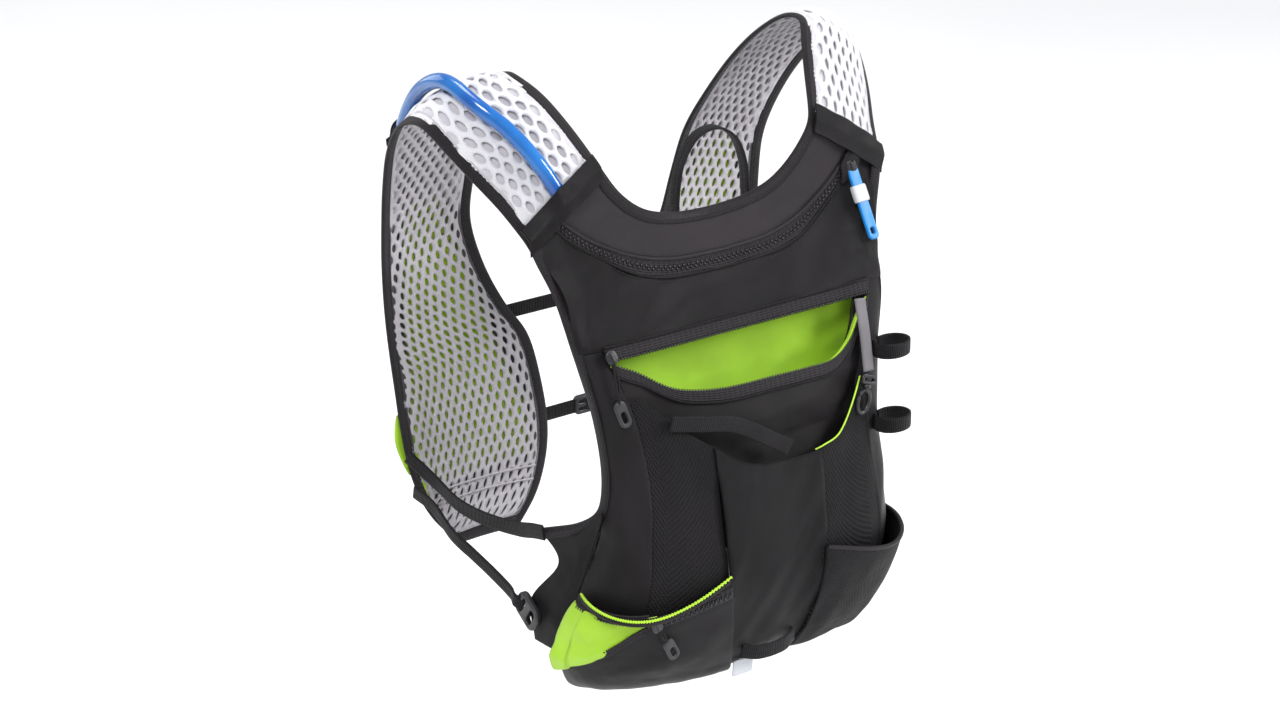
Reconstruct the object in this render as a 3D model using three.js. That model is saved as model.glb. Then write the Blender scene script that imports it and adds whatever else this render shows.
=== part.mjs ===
// A running hydration vest in millimetres: +X is the wearer's right, +Y forward, +Z up.
// The origin lies midway between the two shoulder straps, where they sit on the shoulders.
import * as THREE from "three";

// Driving dimensions
const SHOULDER_HALF = 165; // from the middle to a strap's outer edge
const VEST_HEIGHT = 386; // from the shoulder down to the bottom of the pack
const CHEST_REACH = 111; // from the shoulder forward to the front panels
const BACK_REACH = 112; // from the shoulder back to the fullest part of the pack
const BINDING_WIDTH = 8;
const BINDING_THICKNESS = 3.2;
const CLOTH = 1.2;
const LINING = 1.0;
const CORE_THICKNESS = 1.6;
const MESH_THICKNESS = 2.0;
const PADDING = 3.0;
const GAP = 0.35; // between two edges that touch
const LAYER_GAP = 1.4; // between two curved layers that touch
const ZIP_WIDTH = 6.5;
const ZIP_THICKNESS = 2.0;
const SEAM_WIDTH = 9;
const WEBBING_WIDTH = 10;
const WEBBING_THICKNESS = 1.6;
const TUBE_DIAMETER = 9.5;
const PULL_WIDTH = 8;
const BUCKLE_WIDTH = 18;
const BUCKLE_LENGTH = 24;
const BUCKLE_THICKNESS = 4;
const HOOK_WIDTH = 13;
const HOOK_WIRE = 3;

// The strap and front panel, from the shoulder seam to the bottom of the panel.
// Each row is a section from the neck edge to the arm edge, as shares of the reaches above.
const HARNESS = [
  { neckX: 0.479, neckY: -0.333, neckZ: -0.135, armX: 0.812, armY: -0.360, armZ: -0.231, crown: 2 },
  { neckX: 0.533, neckY: -0.180, neckZ: -0.078, armX: 0.861, armY: -0.198, armZ: -0.181, crown: 4 },
  { neckX: 0.594, neckY: -0.027, neckZ: -0.028, armX: 0.909, armY: -0.072, armZ: -0.145, crown: 5 },
  { neckX: 0.642, neckY: 0.081, neckZ: -0.005, armX: 0.958, armY: 0.090, armZ: -0.104, crown: 6 },
  { neckX: 0.630, neckY: 0.198, neckZ: -0.008, armX: 0.994, armY: 0.270, armZ: -0.070, crown: 6 },
  { neckX: 0.600, neckY: 0.360, neckZ: -0.039, armX: 0.994, armY: 0.468, armZ: -0.088, crown: 6 },
  { neckX: 0.570, neckY: 0.541, neckZ: -0.091, armX: 0.964, armY: 0.667, armZ: -0.145, crown: 6 },
  { neckX: 0.533, neckY: 0.721, neckZ: -0.163, armX: 0.927, armY: 0.811, armZ: -0.218, crown: 6 },
  { neckX: 0.497, neckY: 0.874, neckZ: -0.241, armX: 0.903, armY: 0.892, armZ: -0.285, crown: 6 },
  { neckX: 0.479, neckY: 0.964, neckZ: -0.321, armX: 0.897, armY: 0.919, armZ: -0.363, crown: 6 },
  { neckX: 0.418, neckY: 0.973, neckZ: -0.407, armX: 0.891, armY: 0.919, armZ: -0.446, crown: 6 },
  { neckX: 0.309, neckY: 0.991, neckZ: -0.492, armX: 0.879, armY: 0.910, armZ: -0.518, crown: 7 },
  { neckX: 0.206, neckY: 1.000, neckZ: -0.554, armX: 0.867, armY: 0.892, armZ: -0.583, crown: 8 },
  { neckX: 0.152, neckY: 0.991, neckZ: -0.637, armX: 0.855, armY: 0.874, armZ: -0.648, crown: 8 },
  { neckX: 0.127, neckY: 0.973, neckZ: -0.725, armX: 0.830, armY: 0.847, armZ: -0.725, crown: 8 },
  { neckX: 0.145, neckY: 0.955, neckZ: -0.782, armX: 0.782, armY: 0.829, armZ: -0.788, crown: 7 },
  { neckX: 0.206, neckY: 0.928, neckZ: -0.842, armX: 0.715, armY: 0.820, armZ: -0.834, crown: 5 },
  { neckX: 0.315, neckY: 0.892, neckZ: -0.891, armX: 0.606, armY: 0.838, armZ: -0.881, crown: 2 },
];

// The back of the neck, from the middle to the shoulder seam.
const NECK = [
  { x: 0, y: -0.315, z: -0.241 },
  { x: 0.152, y: -0.322, z: -0.236 },
  { x: 0.291, y: -0.330, z: -0.218 },
  { x: 0.400, y: -0.333, z: -0.181 },
  { x: 0.479, y: -0.333, z: -0.135 },
];

// The pack's outer skin, from the yoke to the bottom: half width, depth at the sides and in the
// middle, and how square the section is.
const PACK = [
  { drop: 0.180, width: 0.812, side: 0.345, middle: 0.320, square: 2.2 },
  { drop: 0.231, width: 0.812, side: 0.360, middle: 0.335, square: 2.2 },
  { drop: 0.308, width: 0.748, side: 0.440, middle: 0.445, square: 2.6 },
  { drop: 0.394, width: 0.709, side: 0.520, middle: 0.625, square: 4.6 },
  { drop: 0.505, width: 0.648, side: 0.590, middle: 0.785, square: 3.8 },
  { drop: 0.622, width: 0.624, side: 0.625, middle: 0.880, square: 3.4 },
  { drop: 0.720, width: 0.655, side: 0.580, middle: 0.965, square: 3.2 },
  { drop: 0.800, width: 0.690, side: 0.530, middle: 1.000, square: 3.0 },
  { drop: 0.881, width: 0.712, side: 0.430, middle: 0.965, square: 2.7 },
  { drop: 0.945, width: 0.700, side: 0.385, middle: 0.885, square: 2.4 },
  { drop: 0.980, width: 0.660, side: 0.370, middle: 0.750, square: 2.2 },
  { drop: 1.000, width: 0.600, side: 0.350, middle: 0.380, square: 2.0 },
];

// Lines across the skin: place from -1 at the left edge to 1 at the right, and drop.
const RESERVOIR_LINE = [
  { place: 0, drop: 0.316 },
  { place: 0.144, drop: 0.311 },
  { place: 0.296, drop: 0.293 },
  { place: 0.437, drop: 0.262 },
  { place: 0.560, drop: 0.226 },
  { place: 0.640, drop: 0.205 },
  { place: 1, drop: 0.241 },
];
const UPPER_TAPE_DROP = 0.394;
const LIP_LINE = [
  { place: -0.505, drop: 0.416 },
  { place: -0.420, drop: 0.426 },
  { place: -0.322, drop: 0.440 },
  { place: -0.196, drop: 0.472 },
  { place: -0.083, drop: 0.487 },
  { place: 0, drop: 0.494 },
  { place: 0.083, drop: 0.496 },
  { place: 0.220, drop: 0.494 },
  { place: 0.326, drop: 0.472 },
  { place: 0.400, drop: 0.440 },
  { place: 0.505, drop: 0.416 },
];
const STRETCH_LINE = [
  { place: -0.400, drop: 0.478 },
  { place: -0.216, drop: 0.541 },
  { place: -0.115, drop: 0.575 },
  { place: -0.050, drop: 0.604 },
  { place: 0, drop: 0.621 },
  { place: 0.060, drop: 0.625 },
  { place: 0.137, drop: 0.621 },
  { place: 0.234, drop: 0.607 },
  { place: 0.400, drop: 0.535 },
];
const SIDE_MOUTH_LINE = [
  { place: 0.12, drop: 0.782 },
  { place: 0.30, drop: 0.803 },
  { place: 0.486, drop: 0.816 },
  { place: 0.665, drop: 0.815 },
  { place: 1, drop: 0.800 },
];
const WING_ZIP_LINE = [
  { place: 0.12, drop: 0.808 },
  { place: 0.50, drop: 0.834 },
  { place: 1, drop: 0.826 },
];
const WING_LIP_LINE = [
  { place: 0.12, drop: 0.808 },
  { place: 0.50, drop: 0.836 },
  { place: 0.70, drop: 0.884 },
  { place: 1, drop: 0.935 },
];
const WING_ZIP_END = 0.50; // where the left wing's zip is open from
const TUBE_ACROSS = 0.5; // where the drink tube leaves the seam
const PANEL_HALF = 0.12; // half width of the centre panel, as a place
const STRETCH_END = 0.40; // where the stretch pocket's mesh ends
const LIP_END = 0.505; // where the open zip ends
const SIDE_END = 0.97; // where the side pocket ends, at the wing
const BACK_BOTTOM_DROP = 0.970;
const BOTTOM_DROP = 0.995;
const EDGE_END_DROP = 0.668; // where the edge binding leaves the pack for the wing

// The wing on each side, from its top edge to its bottom edge.
const WING = [
  { drop: 0.676, backX: 0.655, backY: -0.640, frontX: 0.733, frontY: -0.268, frontDrop: 0.718 },
  { drop: 0.760, backX: 0.668, backY: -0.560, frontX: 0.705, frontY: -0.390, frontDrop: 0.768 },
  { drop: 0.842, backX: 0.697, backY: -0.470, frontX: 0.748, frontY: -0.215, frontDrop: 0.845 },
  { drop: 0.925, backX: 0.715, backY: -0.380, frontX: 0.735, frontY: -0.215, frontDrop: 0.920 },
];

const part = new THREE.Group();
const colours = {
  black: 0x2c2a2d,
  charcoal: 0x464247,
  binding: 0x3a3538,
  grey: 0x9a969d,
  white: 0xe2e2e8,
  lime: 0xa9d034,
  blue: 0x1f8fd6,
  tube: 0x1e88d8,
  plastic: 0x232225,
  silver: 0xc9ccd2,
};

function addMesh(name, geometry, colour, roughness = 0.85, metalness = 0) {
  const material = new THREE.MeshStandardMaterial({
    color: colours[colour],
    roughness,
    metalness,
  });
  const mesh = new THREE.Mesh(geometry, material);
  mesh.name = name;
  part.add(mesh);
  return mesh;
}

// A smooth value from a table's column at a place along another column.
function column(rows, key, along, value) {
  const last = rows.length - 1;
  let i = 0;
  while (i < last - 1 && value > rows[i + 1][along]) i += 1;
  const before = rows[Math.max(i - 1, 0)];
  const from = rows[i];
  const to = rows[i + 1];
  const after = rows[Math.min(i + 2, last)];
  const span = to[along] - from[along];
  const t = THREE.MathUtils.clamp((value - from[along]) / span, 0, 1);
  const slopeFrom = ((to[key] - before[key]) / (to[along] - before[along])) * span;
  const slopeTo = ((after[key] - from[key]) / (after[along] - from[along])) * span;
  const t2 = t * t;
  const t3 = t2 * t;
  return (
    (2 * t3 - 3 * t2 + 1) * from[key] +
    (t3 - 2 * t2 + t) * slopeFrom +
    (3 * t2 - 2 * t3) * to[key] +
    (t3 - t2) * slopeTo
  );
}

// A closed solid from two matching grids of points. keep says which cells are there.
function gridSolid(front, back, keep = () => true) {
  const rows = front.length;
  const columns = front[0].length;
  const points = [...front.flat(), ...back.flat()];
  const count = rows * columns;
  const id = (i, j, side) => side * count + i * columns + j;
  const faces = [];
  const quad = (a, b, c, d) => faces.push(a, b, c, a, c, d);
  const kept = (i, j) => i >= 0 && j >= 0 && i < rows - 1 && j < columns - 1 && keep(i, j);
  for (let i = 0; i < rows - 1; i += 1) {
    for (let j = 0; j < columns - 1; j += 1) {
      if (!kept(i, j)) continue;
      const corners = [[i, j], [i + 1, j], [i + 1, j + 1], [i, j + 1]];
      const neighbours = [[i, j - 1], [i + 1, j], [i, j + 1], [i - 1, j]];
      quad(...corners.map(([r, c]) => id(r, c, 0)));
      quad(...corners.map(([r, c]) => id(r, c, 1)).reverse());
      neighbours.forEach(([r, c], k) => {
        if (kept(r, c)) return;
        const from = corners[k];
        const to = corners[(k + 1) % 4];
        quad(id(...to, 0), id(...from, 0), id(...from, 1), id(...to, 1));
      });
    }
  }
  return solidFrom(points, faces);
}

// A geometry with its faces pointing out, whichever way the grid was wound.
function solidFrom(points, faces) {
  let volume = 0;
  for (let k = 0; k < faces.length; k += 3) {
    const [a, b, c] = [points[faces[k]], points[faces[k + 1]], points[faces[k + 2]]];
    volume += a.dot(new THREE.Vector3().crossVectors(b, c)) / 6;
  }
  const index = volume > 0 ? faces : faces.slice().reverse();
  const geometry = new THREE.BufferGeometry().setFromPoints(points);
  const used = new THREE.BufferGeometry();
  used.setAttribute("position", geometry.getAttribute("position"));
  used.setIndex(index);
  const flat = used.toNonIndexed();
  flat.computeVertexNormals();
  return flat;
}

function grid(rows, columns, at) {
  return Array.from({ length: rows }, (_, i) =>
    Array.from({ length: columns }, (_, j) => at(i / (rows - 1), j / (columns - 1), i, j)),
  );
}

// The unit normal of a surface, pointing the way that its two directions turn.
function normalOf(surface, u, v, step = 0.004) {
  const u0 = Math.max(u - step, -1);
  const u1 = Math.min(u + step, 1);
  const v0 = Math.max(v - step, 0);
  const v1 = Math.min(v + step, 1);
  const alongU = surface(u1, v).sub(surface(u0, v));
  const alongV = surface(u, v1).sub(surface(u, v0));
  return alongU.cross(alongV).normalize();
}

const mirrored = (geometry) => {
  const copy = geometry.clone().scale(-1, 1, 1);
  const position = copy.getAttribute("position");
  for (let k = 0; k < position.count; k += 3) {
    const b = new THREE.Vector3().fromBufferAttribute(position, k + 1);
    const c = new THREE.Vector3().fromBufferAttribute(position, k + 2);
    position.setXYZ(k + 1, c.x, c.y, c.z);
    position.setXYZ(k + 2, b.x, b.y, b.z);
  }
  copy.computeVertexNormals();
  return copy;
};

// Both sides of a piece that is the same left and right.
function addPair(name, geometry, colour, roughness = 0.85) {
  addMesh(name + "_right", geometry, colour, roughness);
  addMesh(name + "_left", mirrored(geometry), colour, roughness);
}

// The harness surface. across runs from the neck edge to the arm edge, along from the seam.
const neckRail = new THREE.CatmullRomCurve3(
  HARNESS.map(
    (r) => new THREE.Vector3(r.neckX * SHOULDER_HALF, r.neckY * CHEST_REACH, r.neckZ * VEST_HEIGHT),
  ),
);
const armRail = new THREE.CatmullRomCurve3(
  HARNESS.map(
    (r) => new THREE.Vector3(r.armX * SHOULDER_HALF, r.armY * CHEST_REACH, r.armZ * VEST_HEIGHT),
  ),
);
HARNESS.forEach((row, i) => {
  row.along = i / (HARNESS.length - 1);
});

function harnessBase(across, along) {
  return neckRail.getPoint(along).lerp(armRail.getPoint(along), across);
}

function harnessAt(across, along, lift = 0) {
  const normal = normalOf(harnessBase, across, along);
  const crown = column(HARNESS, "crown", "along", along) * 4 * across * (1 - across);
  return harnessBase(across, along).addScaledVector(normal, crown + lift);
}

const harnessWidth = (along) => neckRail.getPoint(along).distanceTo(armRail.getPoint(along));

// The pack's outer skin. place runs from -1 to 1 across the back, drop is a share of the height.
function skinBase(place, drop) {
  const width = column(PACK, "width", "drop", drop) * SHOULDER_HALF;
  const side = column(PACK, "side", "drop", drop) * BACK_REACH;
  const middle = column(PACK, "middle", "drop", drop) * BACK_REACH;
  const power = 2 / column(PACK, "square", "drop", drop);
  const angle = (place * Math.PI) / 2;
  const x = width * Math.sign(place) * Math.abs(Math.sin(angle)) ** power;
  const y = -side - (middle - side) * Math.max(Math.cos(angle), 0) ** power;
  return new THREE.Vector3(x, y, -drop * VEST_HEIGHT);
}

function skinAt(place, drop, lift = 0) {
  const step = 0.006;
  const inside = THREE.MathUtils.clamp(place, -0.985, 0.985);
  const alongPlace = skinBase(inside + step, drop).sub(skinBase(inside - step, drop));
  const alongDrop = skinBase(inside, drop + step).sub(skinBase(inside, drop - step));
  const outward = alongDrop.cross(alongPlace).normalize();
  return skinBase(place, drop).addScaledVector(outward, lift);
}

// The back panel's middle surface, a little forward of the pack's side edges.
const BACK_CLEARANCE = 4.2;
const SPINE_HOLLOW = 8;
function backAt(share, drop, lift = 0) {
  const width = column(PACK, "width", "drop", drop) * SHOULDER_HALF - 3;
  const side = column(PACK, "side", "drop", drop) * BACK_REACH;
  const hollow = SPINE_HOLLOW * (1 - share * share);
  return new THREE.Vector3(share * width, -side + BACK_CLEARANCE + hollow + lift, -drop * VEST_HEIGHT);
}

// A sheet between two surfaces of points made by at(i, j, lift).
function sheet(rows, columns, at, thickness, keep) {
  const front = grid(rows, columns, (s, t, i, j) => at(s, t, thickness / 2, i, j));
  const back = grid(rows, columns, (s, t, i, j) => at(s, t, -thickness / 2, i, j));
  return gridSolid(front, back, keep);
}

// A flat band along a curve. side gives the direction of its width at a share of the length.
function band(points, width, thickness, side, steps = 4 * points.length) {
  const curve = new THREE.CatmullRomCurve3(points);
  return sheet(
    steps + 1,
    2,
    (s, t, lift) => {
      const tangent = curve.getTangent(s);
      const across = side(s).clone().addScaledVector(tangent, -side(s).dot(tangent)).normalize();
      const normal = new THREE.Vector3().crossVectors(tangent, across).normalize();
      return curve
        .getPoint(s)
        .addScaledVector(across, (t - 0.5) * width)
        .addScaledVector(normal, lift);
    },
    thickness,
  );
}

// Harness core, one closed sheet from the seam to the bottom binding
const SEAM_SHARE = 0.01;
const HEM_INNER = 0.972; // the inner edge of the panel's bottom binding
const PANEL_END = 0.966;
const inset = (along, extra = 0) => (BINDING_WIDTH + GAP + extra) / harnessWidth(along);
const between = (from, to, share) => from + (to - from) * share;

function harnessSheet(rows, columns, from, to, lift, thickness, keep, shift = () => 0, margin = 0) {
  return sheet(
    rows,
    columns,
    (s, t, offset, i) => {
      const along = between(from, to, s);
      const edge = inset(along, margin);
      const moved = t > 0 && t < 1 ? t + shift(i) : t;
      return harnessAt(between(edge, 1 - edge, moved), along, lift + offset);
    },
    thickness,
    keep,
  );
}

const coreGeometry = harnessSheet(
  24,
  4,
  SEAM_SHARE,
  PANEL_END,
  0,
  CORE_THICKNESS,
  undefined,
  undefined,
  2 * GAP,
);
addPair("harness", coreGeometry, "grey");

// Open mesh with staggered long holes, on the outer face of the strap and the inner face of the panel
const MESH_COLUMNS = 3;
const hole = (i, j) => !(i % 2 === 1 && j % 2 === 1);
const stagger = (i) => (Math.floor((i - 1) / 2) % 2 === 0 ? 0.035 : -0.035);
const MESH_MARGIN = 0.8; // from the edge binding's inner edge to the mesh
const meshLift = (CORE_THICKNESS + MESH_THICKNESS) / 2 + LAYER_GAP;
const SHOULDER_MESH_END = 0.42;
const PANEL_MESH_START = 0.30;

function openMesh(holes, from, to, lift) {
  return harnessSheet(
    2 * holes + 2,
    2 * MESH_COLUMNS + 2,
    from,
    to,
    lift,
    MESH_THICKNESS,
    hole,
    stagger,
    MESH_MARGIN,
  );
}

addPair("shoulder_mesh", openMesh(6, 0.02, SHOULDER_MESH_END, meshLift), "white");
addPair("panel_mesh", openMesh(11, PANEL_MESH_START, 0.955, -meshLift), "grey");

// Plain pocket on the hidden outer face of each front panel
const POCKET_FROM = 0.52;
const POCKET_TO = 0.96;
const POCKET_BULGE = 9;
addPair(
  "front_pocket",
  sheet(
    9,
    7,
    (s, t, offset) => {
      const along = between(POCKET_FROM, POCKET_TO, s);
      const edge = inset(along, 1);
      const bulge = POCKET_BULGE * (4 * t * (1 - t)) ** 0.6 * (1 - (1 - s) ** 3 * 0.35) * (1 - s ** 6);
      const lift = (CORE_THICKNESS + CLOTH) / 2 + LAYER_GAP + bulge + offset;
      return harnessAt(between(edge, 1 - edge, t), along, lift);
    },
    CLOTH,
  ),
  "black",
);

// Neck binding: up the right panel, over the shoulder, round the back of the neck and down the left
const neckCurve = new THREE.CatmullRomCurve3(
  NECK.map((r) => new THREE.Vector3(r.x * SHOULDER_HALF, r.y * CHEST_REACH, r.z * VEST_HEIGHT)),
);
const reservoirDrop = (place) => column(RESERVOIR_LINE, "drop", "place", Math.abs(place));
const yokeEnd = 0.64;

// The yoke lies between the neck curve and the reservoir zip. share runs from -1 to 1.
function yokeBase(share, down) {
  const top = neckCurve.getPoint(Math.abs(share));
  top.x *= Math.sign(share);
  const place = share * yokeEnd;
  const low = skinBase(place, reservoirDrop(place));
  return top.lerp(low, down);
}

function yokeAt(share, down, lift = 0) {
  const inside = THREE.MathUtils.clamp(share, -0.98, 0.98);
  const step = 0.01;
  const alongShare = yokeBase(inside + step, down).sub(yokeBase(inside - step, down));
  const alongDown = yokeBase(inside, 1).sub(yokeBase(inside, 0));
  const outward = alongDown.cross(alongShare).normalize();
  return yokeBase(share, down).addScaledVector(outward, lift);
}

const yokeHeight = (share) => yokeBase(share, 0).distanceTo(yokeBase(share, 1));

function neckBinding() {
  const down = (share) => BINDING_WIDTH / yokeHeight(share);
  const lifts = [BINDING_THICKNESS / 2, -BINDING_THICKNESS / 2];
  const steps = 23;
  const side = Array.from({ length: steps }, (_, i) => 1 - i / steps);
  const round = Array.from({ length: 16 }, (_, i) => 1 - (2 * i) / 15);
  const [front, back] = lifts.map((lift) => {
    const along = (sign) => (value) =>
      [0, 1].map((t) => {
        const point = harnessAt((t * BINDING_WIDTH) / harnessWidth(value), value, lift);
        point.x *= sign;
        return point;
      });
    const right = side.map(along(1));
    const left = side.map(along(-1)).reverse();
    const neck = round.map((share) => [0, 1].map((t) => yokeAt(share, t * down(share), lift)));
    return [...right, ...neck.slice(1, -1), ...left];
  });
  return gridSolid(front, back);
}
addMesh("neck_binding", neckBinding(), "binding");

// Arm binding: from the bottom of the front panel over the shoulder and down the pack's edge
const wingAt = (forward, down, lift = 0) => {
  const back = new THREE.Vector3(
    column(WING, "backX", "row", down) * SHOULDER_HALF,
    column(WING, "backY", "row", down) * BACK_REACH,
    -column(WING, "drop", "row", down) * VEST_HEIGHT,
  );
  const front = new THREE.Vector3(
    column(WING, "frontX", "row", down) * SHOULDER_HALF,
    column(WING, "frontY", "row", down) * BACK_REACH,
    -column(WING, "frontDrop", "row", down) * VEST_HEIGHT,
  );
  const point = back.lerp(front, forward);
  point.x += lift;
  return point;
};
WING.forEach((row, i) => {
  row.row = i / (WING.length - 1);
});

// The place on the skin that lies a distance in from the edge, measured along the section.
function placeFromEdge(drop, distance) {
  let place = 1;
  let covered = 0;
  const edge = skinBase(1, drop);
  while (covered < distance && place > 0.2) {
    place -= 0.004;
    covered = edge.distanceTo(skinBase(place, drop));
  }
  return place;
}

function armBinding() {
  const hemRows = 7;
  const hemStart = (BINDING_WIDTH + GAP) / harnessWidth(1);
  const harnessRows = 27;
  const edgeRows = 9;
  const wingRows = 4;
  const [front, back] = [BINDING_THICKNESS / 2, -BINDING_THICKNESS / 2].map((lift) => {
    const hem = Array.from({ length: hemRows }, (_, i) => {
      const across = between(hemStart, 1, i / (hemRows - 1));
      const inner = Math.min(across, 1 - BINDING_WIDTH / harnessWidth(HEM_INNER));
      return [harnessAt(across, 1, lift), harnessAt(inner, HEM_INNER, lift)];
    });
    const strap = Array.from({ length: harnessRows }, (_, i) => {
      const along = between(HEM_INNER - 0.02, 0.012, i / (harnessRows - 1));
      const width = BINDING_WIDTH / harnessWidth(along);
      return [harnessAt(1, along, lift), harnessAt(1 - width, along, lift)];
    });
    const edge = Array.from({ length: edgeRows }, (_, i) => {
      const drop = between(0.262, EDGE_END_DROP - 0.01, i / (edgeRows - 1));
      return [skinAt(1, drop, lift), skinAt(placeFromEdge(drop, BINDING_WIDTH), drop, lift)];
    });
    const wing = Array.from({ length: wingRows }, (_, i) => {
      const forward = between(0.35, 1, i / (wingRows - 1));
      const top = wingAt(forward, 0, lift);
      const low = top.clone();
      low.z -= BINDING_WIDTH;
      return [top, low];
    });
    return [...hem, ...strap, ...edge, ...wing];
  });
  return gridSolid(front, back);
}
addPair("arm_binding", armBinding(), "binding");

// Pack shell. A patch of the skin between two places and two drop lines.
// edge may be a function that gives the last place at a drop. A patch that ends at the bottom has
// closer rows there.
function patch(rows, columns, places, drops, lift, thickness = CLOTH, swell = () => 0) {
  const at = (limit, drop) => (typeof limit === "function" ? limit(drop) : limit);
  const nominal = places.map((limit) => (typeof limit === "function" ? limit(0.5) : limit));
  return sheet(
    rows,
    columns,
    (s, t, offset) => {
      let place = between(nominal[0], nominal[1], t);
      let drop = 0;
      for (let pass = 0; pass < 4; pass += 1) {
        const low = drops[1](place);
        const down = low > 0.94 ? 1 - (1 - s) ** 1.8 : s;
        drop = between(drops[0](place), low, down);
        place = between(at(places[0], drop), at(places[1], drop), t);
      }
      return skinAt(place, drop, lift + offset + swell(s, t));
    },
    thickness,
  );
}

const level = (drop) => () => drop;
const share = (length) => length / VEST_HEIGHT;
const lipDrop = (place) => column(LIP_LINE, "drop", "place", place);
const stretchDrop = (place) => column(STRETCH_LINE, "drop", "place", place);
const sideMouthDrop = (place) => column(SIDE_MOUTH_LINE, "drop", "place", Math.abs(place));
const atEdge = (drop) => {
  const past = THREE.MathUtils.smoothstep(drop, EDGE_END_DROP + 0.04, EDGE_END_DROP + 0.10);
  return placeFromEdge(drop, between(BINDING_WIDTH + 3 * GAP, 2, past));
};
const atLeftEdge = (drop) => -atEdge(drop);

addMesh(
  "back_panel",
  sheet(
    11,
    8,
    (s, t, offset) => backAt(2 * t - 1, between(0.275, BACK_BOTTOM_DROP, s), offset),
    PADDING,
  ),
  "grey",
);

// Yoke, between the neck binding and the closed curved zip
const yokeTop = (place) => (BINDING_WIDTH + 2 * GAP) / yokeHeight(place);
const yokeLow = (place) => 1 - (ZIP_WIDTH / 2 + 3 * GAP) / yokeHeight(place);
const YOKE_SHARE = 0.95;
addMesh(
  "yoke_panel",
  sheet(
    4,
    16,
    (s, t, offset) => {
      const at = between(-YOKE_SHARE, YOKE_SHARE, t);
      return yokeAt(at, between(yokeTop(at), yokeLow(at), s), offset);
    },
    CLOTH,
  ),
  "charcoal",
);
const ZIP_PLACE = YOKE_SHARE * yokeEnd;
addMesh(
  "reservoir_zip",
  patch(
    2,
    16,
    [-ZIP_PLACE, ZIP_PLACE],
    [
      (place) => reservoirDrop(place) - share(ZIP_WIDTH / 2),
      (place) => reservoirDrop(place) + share(ZIP_WIDTH / 2),
    ],
    0,
    ZIP_THICKNESS,
  ),
  "black",
);
function seamDrop(place) {
  const [neck, arm] = [harnessBase(0, 0), harnessBase(1, 0)];
  const x = Math.abs(skinBase(place, -arm.z / VEST_HEIGHT).x);
  const along = THREE.MathUtils.clamp((x - neck.x) / (arm.x - neck.x), 0, 1);
  return share(SEAM_WIDTH - neck.z + along * (neck.z - arm.z));
}
const upperTop = (place) =>
  Math.abs(place) < ZIP_PLACE
    ? reservoirDrop(place) + share(ZIP_WIDTH / 2 + GAP)
    : Math.max(seamDrop(place), reservoirDrop(place) + share(ZIP_WIDTH / 2 + GAP));
addMesh(
  "upper_panel",
  patch(
    5,
    18,
    [atLeftEdge, atEdge],
    [upperTop, level(UPPER_TAPE_DROP - share(GAP))],
    0,
  ),
  "black",
);

// Open zip pocket: taut upper tape, sagging lower tape, dark front and lime pouch
addMesh(
  "zip_pocket_upper_tape",
  patch(
    2,
    12,
    [-LIP_END, LIP_END],
    [level(UPPER_TAPE_DROP), level(UPPER_TAPE_DROP + share(ZIP_WIDTH))],
    0,
    ZIP_THICKNESS,
  ),
  "black",
);
addMesh(
  "zip_pocket_lower_tape",
  patch(
    2,
    16,
    [-LIP_END + 0.02, LIP_END - 0.02],
    [lipDrop, (place) => lipDrop(place) + share(ZIP_WIDTH)],
    0,
    ZIP_THICKNESS,
  ),
  "black",
);
const POUCH_BOTTOM = 0.74;
const FRONT_LIFT = -6;
addMesh(
  "zip_pocket_front",
  patch(
    5,
    16,
    [-LIP_END + 0.02, LIP_END - 0.02],
    [(place) => lipDrop(place) + share(ZIP_WIDTH + 2 * GAP), level(POUCH_BOTTOM)],
    FRONT_LIFT,
    CLOTH,
    (s) => Math.max(1 - 3 * s, 0) * (-FRONT_LIFT - 0.5),
  ),
  "black",
);

// The pouch goes down the back wall, round the bottom and up inside the front
const POUCH_END = LIP_END - 0.03;
const POUCH_BACK_CLEARANCE = 5;
const POUCH_SAG = 5;
function pouchBase(s, t) {
  const place = between(-POUCH_END, POUCH_END, t);
  const top = UPPER_TAPE_DROP + share(ZIP_WIDTH + GAP);
  const low = POUCH_BOTTOM - share(2 * POUCH_SAG);
  const lip = lipDrop(place) + share(2);
  const wall = Math.abs(s - 0.5) * 2;
  const down = between(low, s < 0.5 ? top : lip, Math.max(wall - 0.16, 0) / 0.84);
  const front = skinAt(place, down, FRONT_LIFT - LAYER_GAP - LINING / 2);
  const back = front.clone();
  const width = column(PACK, "width", "drop", down) * SHOULDER_HALF - 3;
  back.y = backAt(front.x / width, down).y - PADDING / 2 - POUCH_BACK_CLEARANCE;
  const turn = THREE.MathUtils.clamp((s - 0.42) / 0.16, 0, 1) * Math.PI;
  const point = back.lerp(front, (1 - Math.cos(turn)) / 2);
  point.z -= POUCH_SAG * Math.sin(turn);
  return point;
}

// A sheet along a surface's own normal.
function skinned(rows, columns, base, thickness, lift = 0) {
  return sheet(
    rows,
    columns,
    (s, t, offset) => base(s, t).addScaledVector(normalOf(base, s, t, 0.01), lift + offset),
    thickness,
  );
}
addMesh("zip_pocket_lining", skinned(13, 10, pouchBase, LINING), "lime");

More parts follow.
